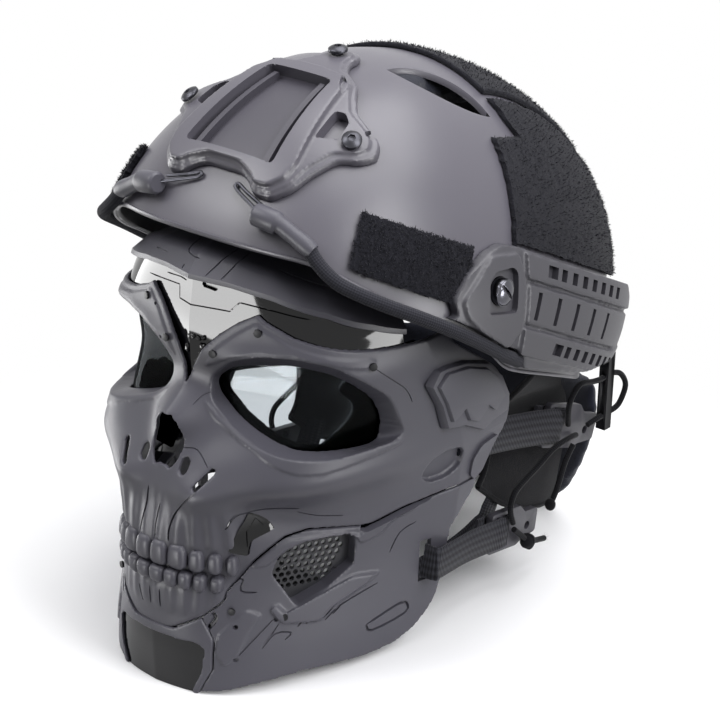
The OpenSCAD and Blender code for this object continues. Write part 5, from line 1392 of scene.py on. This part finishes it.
# %% Elastic lace with its stopper and knot
LACES = [[(82.5, 84, 84), (86, 78, 96), (88, 77, 104), (88.5, 84, 110), (88, 98, 107), (87.5, 106, 105.5),
          (87.5, 112, 105.5), (87.5, 118, 105.5), (89, 124.5, 103), (90, 128.5, 95), (89, 124.5, 85),
          (87.5, 118, 82), (87.5, 112, 82), (87.5, 105, 82), (86, 98, 80)], [(82.8, 92, 75), (84.6, 82, 77),
                  (84.6, 68, 76), (84, 54, 70), (84, 37, 64), (84.4, 31, 60), (84.6, 29, 53),
                          (84.8, 32, 44)], [(84.8, 33, 40), (85.6, 45, 29)], [(85.6, 46, 28), (84, 56, 24),
                                  (83, 66, 21)], [(82.8, 90, 70), (82, 84, 61), (81, 79, 46), (80.5, 74, 38)]]
lace = [sweep("lace", curve(route, 6), round_section(1.6, 12), (1, 0, 0)) for route in LACES]
stopper = ball(LACES[3][0], 4.6, (0.9, 1.05, 0.9), segments=24)
knot = ball(LACES[4][3], 3.2, (1, 0.9, 1.15), segments=20)
loop_points = [Vector(LACES[3][0]) + Vector((3.2 * math.cos(a), 0.8 * math.sin(2 * a), 3.6 * math.sin(a)))
               for a in even(0, 6.0, 0.4)]
wrap = sweep("wrap", loop_points, round_section(1.3, 10), (0, 1, 0.2))
lace_piece = join(lace[0], lace[1:] + [stopper, knot, wrap])
rng = random.Random(21)
end = Vector(LACES[3][-1])
strands = []
for _ in range(26):
    spread = Vector((rng.uniform(-1, 1), rng.uniform(0.8, 2.2),
                     rng.uniform(-1, 0.7))).normalized() * rng.uniform(3, 5.5)
    root = end + Vector((rng.uniform(-1, 1), 0, rng.uniform(-1, 1))) * 0.9 - Vector((0, 0.6, 0))
    side = spread.cross(Vector((0, 0, 1))).normalized() * 0.16
    strands.append([root - side, root + side, root + spread])
tuft = solid("tuft", [p for s in strands for p in s], [(3 * i, 3 * i + 1, 3 * i + 2)
                                                       for i in range(len(strands))])
pale_thread = cloth("pale_rubber_thread", "#b9b9bd", "padding", 0.1)
stretch = ("mask", "helmet", (0, 0.099, 0.09), (0, 0.1125, 0.09))
dress_pair(lace_piece, "elastic_lace_", fine_cord, stretch, "lace_", 60)
dress_pair(tuft, "lace_tuft_", pale_thread, "mask", None, 60)

# %% [markdown]
# ## Harness and chin strap
# Inside the helmet a cloth yoke comes down on each side from the shell to the nape, and narrows into the
# chin strap with its buckle. The yoke is a thick felted panel with a bound edge. The right half of the
# strap gives way when the buckle opens.

# %% Yokes and straps
YOKE = [[(66, 24, 63), (66, 51, 42), (66, 80, 30), (64, 100, 26)], [(66, 30, 72), (67, 54, 58), (67, 80, 50),
                                                                    (65, 102, 44)],
        [(67, 32, 90), (68, 56, 84), (68, 82, 78), (67, 104, 72)], [(71, 31, 108), (71, 56, 106),
                                                                    (71, 80, 101), (68, 100, 92)],
        [(84, 26, 122), (83, 48, 118), (78, 70, 112), (71, 90, 106)]]
for el in (-13, -5, 4):
    YOKE.append([tuple(dome(az, el, -(WALL + 0.9) - 1.1)) for az in (102, 113, 124, 134)])

def on_spline(points, at):
    i = min(int(at), len(points) - 2)
    a, d = points[max(i - 1, 0)], points[min(i + 2, len(points) - 1)]
    return spline(a, points[i], points[i + 1], d, at - i)

def yoke_at(u, v, off):
    p = on_spline([on_spline([Vector(q) for q in row], u) for row in YOKE], v)
    return p + Vector((p.x, p.y / 2, 0)).normalized() * off

STRAP = [(64.4, 44, 56), (64, 38, 44), (63, 30, 34), (58, 8, 24), (48, -18, 16), (38, -44, 13.5),
         (30, -58, 13), (23.8, -61, 13)]
strap = sweep("strap", curve(STRAP, 6), tape_section(18, WEB_T), (0.1, 0.1, 1))
left_half, right_half = both_sides(strap)
slack = ("strap_r", "helmet", (-0.026, 0, 0), (-0.062, 0, 0))
dress(left_half, "chin_tape_left", webbing, "helmet", ["chin_strap_left"], 50)
dress(right_half, "chin_tape_right", webbing, slack, ["chin_strap_right"], 50)
panel = slab("yoke", yoke_at, even(0, 3, 0.1), even(0, 6.98, 0.14), -1.0, 1.0)
hem = sweep("hem", [yoke_at(u, 0, 0) for u in even(0, 3, 0.1)], tape_section(3.4, 3.2), (0, 0, 1))
front_hem = sweep("hem", [yoke_at(0, v, 0) for v in even(0, 6.9, 0.15)], tape_section(3.4, 3.0), (0, 1, 0.1))
dress_pair(join(panel, [hem, front_hem]), "yoke_", felt, "helmet", None, 50)

# %% [markdown]
# ## Pads
# Pads are the soft part: foam sewn in cloth. Each starts as a plain slab a little thinner than the pad, is
# remeshed at a few millimetres, and is blown up by the cloth solver with pressure and no gravity, which
# draws in its edges as a sewn cover does. A cap on how far each point may move keeps it inside its place.

# %% Blown-up pads
def puffed(obj, name, node_name, voxel=5, cap=3.0):
    """Blows a slab up under cloth pressure; no point moves further than cap, in millimetres."""
    finish_modifier(obj, "REMESH", mode="VOXEL", voxel_size=voxel * MM)
    rest = [v.co.copy() for v in obj.data.vertices]
    made = obj.modifiers.new("cloth", "CLOTH")
    made.settings.use_pressure = True
    made.settings.uniform_pressure_force = 4
    made.settings.effector_weights.gravity = 0
    scene = bpy.context.scene
    for step in range(1, 21):
        scene.frame_set(step)
    select_only(obj)
    bpy.ops.object.modifier_apply(modifier="cloth")
    scene.frame_set(1)
    for v, start in zip(obj.data.vertices, rest):
        moved = v.co - start
        if moved.length > cap * MM:
            v.co = start + moved.normalized() * cap * MM
    finish_modifier(obj, "SUBSURF", levels=1, render_levels=1)
    dress(obj, name, navy_cloth, "helmet", [node_name], 80)

PAD_THICK, PAD_OFF = 11.5, -(WALL + 0.9) - 1.2
def pad_swell(u, v):
    return PAD_THICK * (0.55 + 0.45 * (1 - u ** 4) * (1 - v ** 4))
def pad_on(name, at, us, vs, um, vm):
    def pad_at(u, v, off):
        k, w = (u - um) / (us[-1] - um), (v - vm) / (vs[-1] - vm)
        return at(u, v, PAD_OFF - (pad_swell(k, w) if off < 0 else 0))
    return slab(name, pad_at, us, vs, -1, 0)
puffed(pad_on("crown", dome_top, even(-35, 35, 5), even(-40, 40, 5), 0, 0), "crown_cushion", "crown_pad")
puffed(pad_on("front", dome, even(-35, 35, 2.5), even(29.5, 51.5, 2.2), 0, 40.5), "front_cushion",
       "front_pad")
side_cushion = pad_on("side", dome, even(69, 121, 2.6), even(7, 33, 2.6), 95, 20)
for cushion, side in zip(both_sides(side_cushion), ("left", "right")):
    puffed(cushion, "side_cushion_" + side, "side_pad_" + side)

# %% Nape pad
def nape_at(u, z, off):
    wide = 72.6 - 17 * (max(62 - z, 0) / 62) ** 1.6 - 4 * (max(z - 62, 0) / 28) ** 2
    foot = z + (90 - z) / 90 * 19 * (max(abs(u) - 0.45, 0) / 0.55) ** 2
    x = u * wide
    half = 6.4 * math.sqrt(1 - 0.85 * abs(u) ** 6) * (0.5 if z > 86 or z < 2 else 1)
    return Vector((x, 138 - x * x / 260 + 0.1 * foot + off * half, foot))
nape = slab("nape", nape_at, even(-1, 1, 1 / 30), [0.8, 2.5] + even(5, 85, 4) + [87, 89.2], -1, 1)
puffed(nape, "nape_cushion", "nape_pad", 4, 1.2)

# %% [markdown]
# ## Nodes that keep their shape
# The remaining pieces of the construction model already have their true form: screws, buckles and the knob.
# A weld and a small bevel modifier round their edges, and each gets the finish of the real part.

# %% Finishes of the carried-over nodes
KEPT = {"shroud_screws": (black_steel, 0.25), "mask_screws": (black_nylon, 0.2), "nape_cradle": (black_nylon,
        0.4), "dial_knob": (black_nylon, 0.5), "buckle_socket": (black_nylon, 0.8),
        "buckle_plug": (black_nylon, 0.6)}
for side in ("left", "right"):
    KEPT["strap_anchor_" + side] = (black_nylon, 0.8)
    KEPT["upper_buckle_" + side] = KEPT["lower_buckle_" + side] = (rail_nylon, 0.5)
for name, (material, width) in KEPT.items():
    kept = frame["nodes"][name]
    kept.data.materials.clear()
    kept.data.materials.append(material)
    kept.modifiers.new("weld", "WELD").merge_threshold = 0.00001
    edge = kept.modifiers.new("edge", "BEVEL")
    edge.width, edge.segments, edge.limit_method, edge.angle_limit = width * MM, 2, "ANGLE", math.radians(35)
    select_only(kept)
    bpy.ops.object.shade_smooth_by_angle(angle=math.radians(35))

# %% [markdown]
# ## Finish
# The view transform is Standard, so that a colour written as a hex value comes out as that colour.

# %% View
bpy.context.scene.view_settings.view_transform = "Standard"
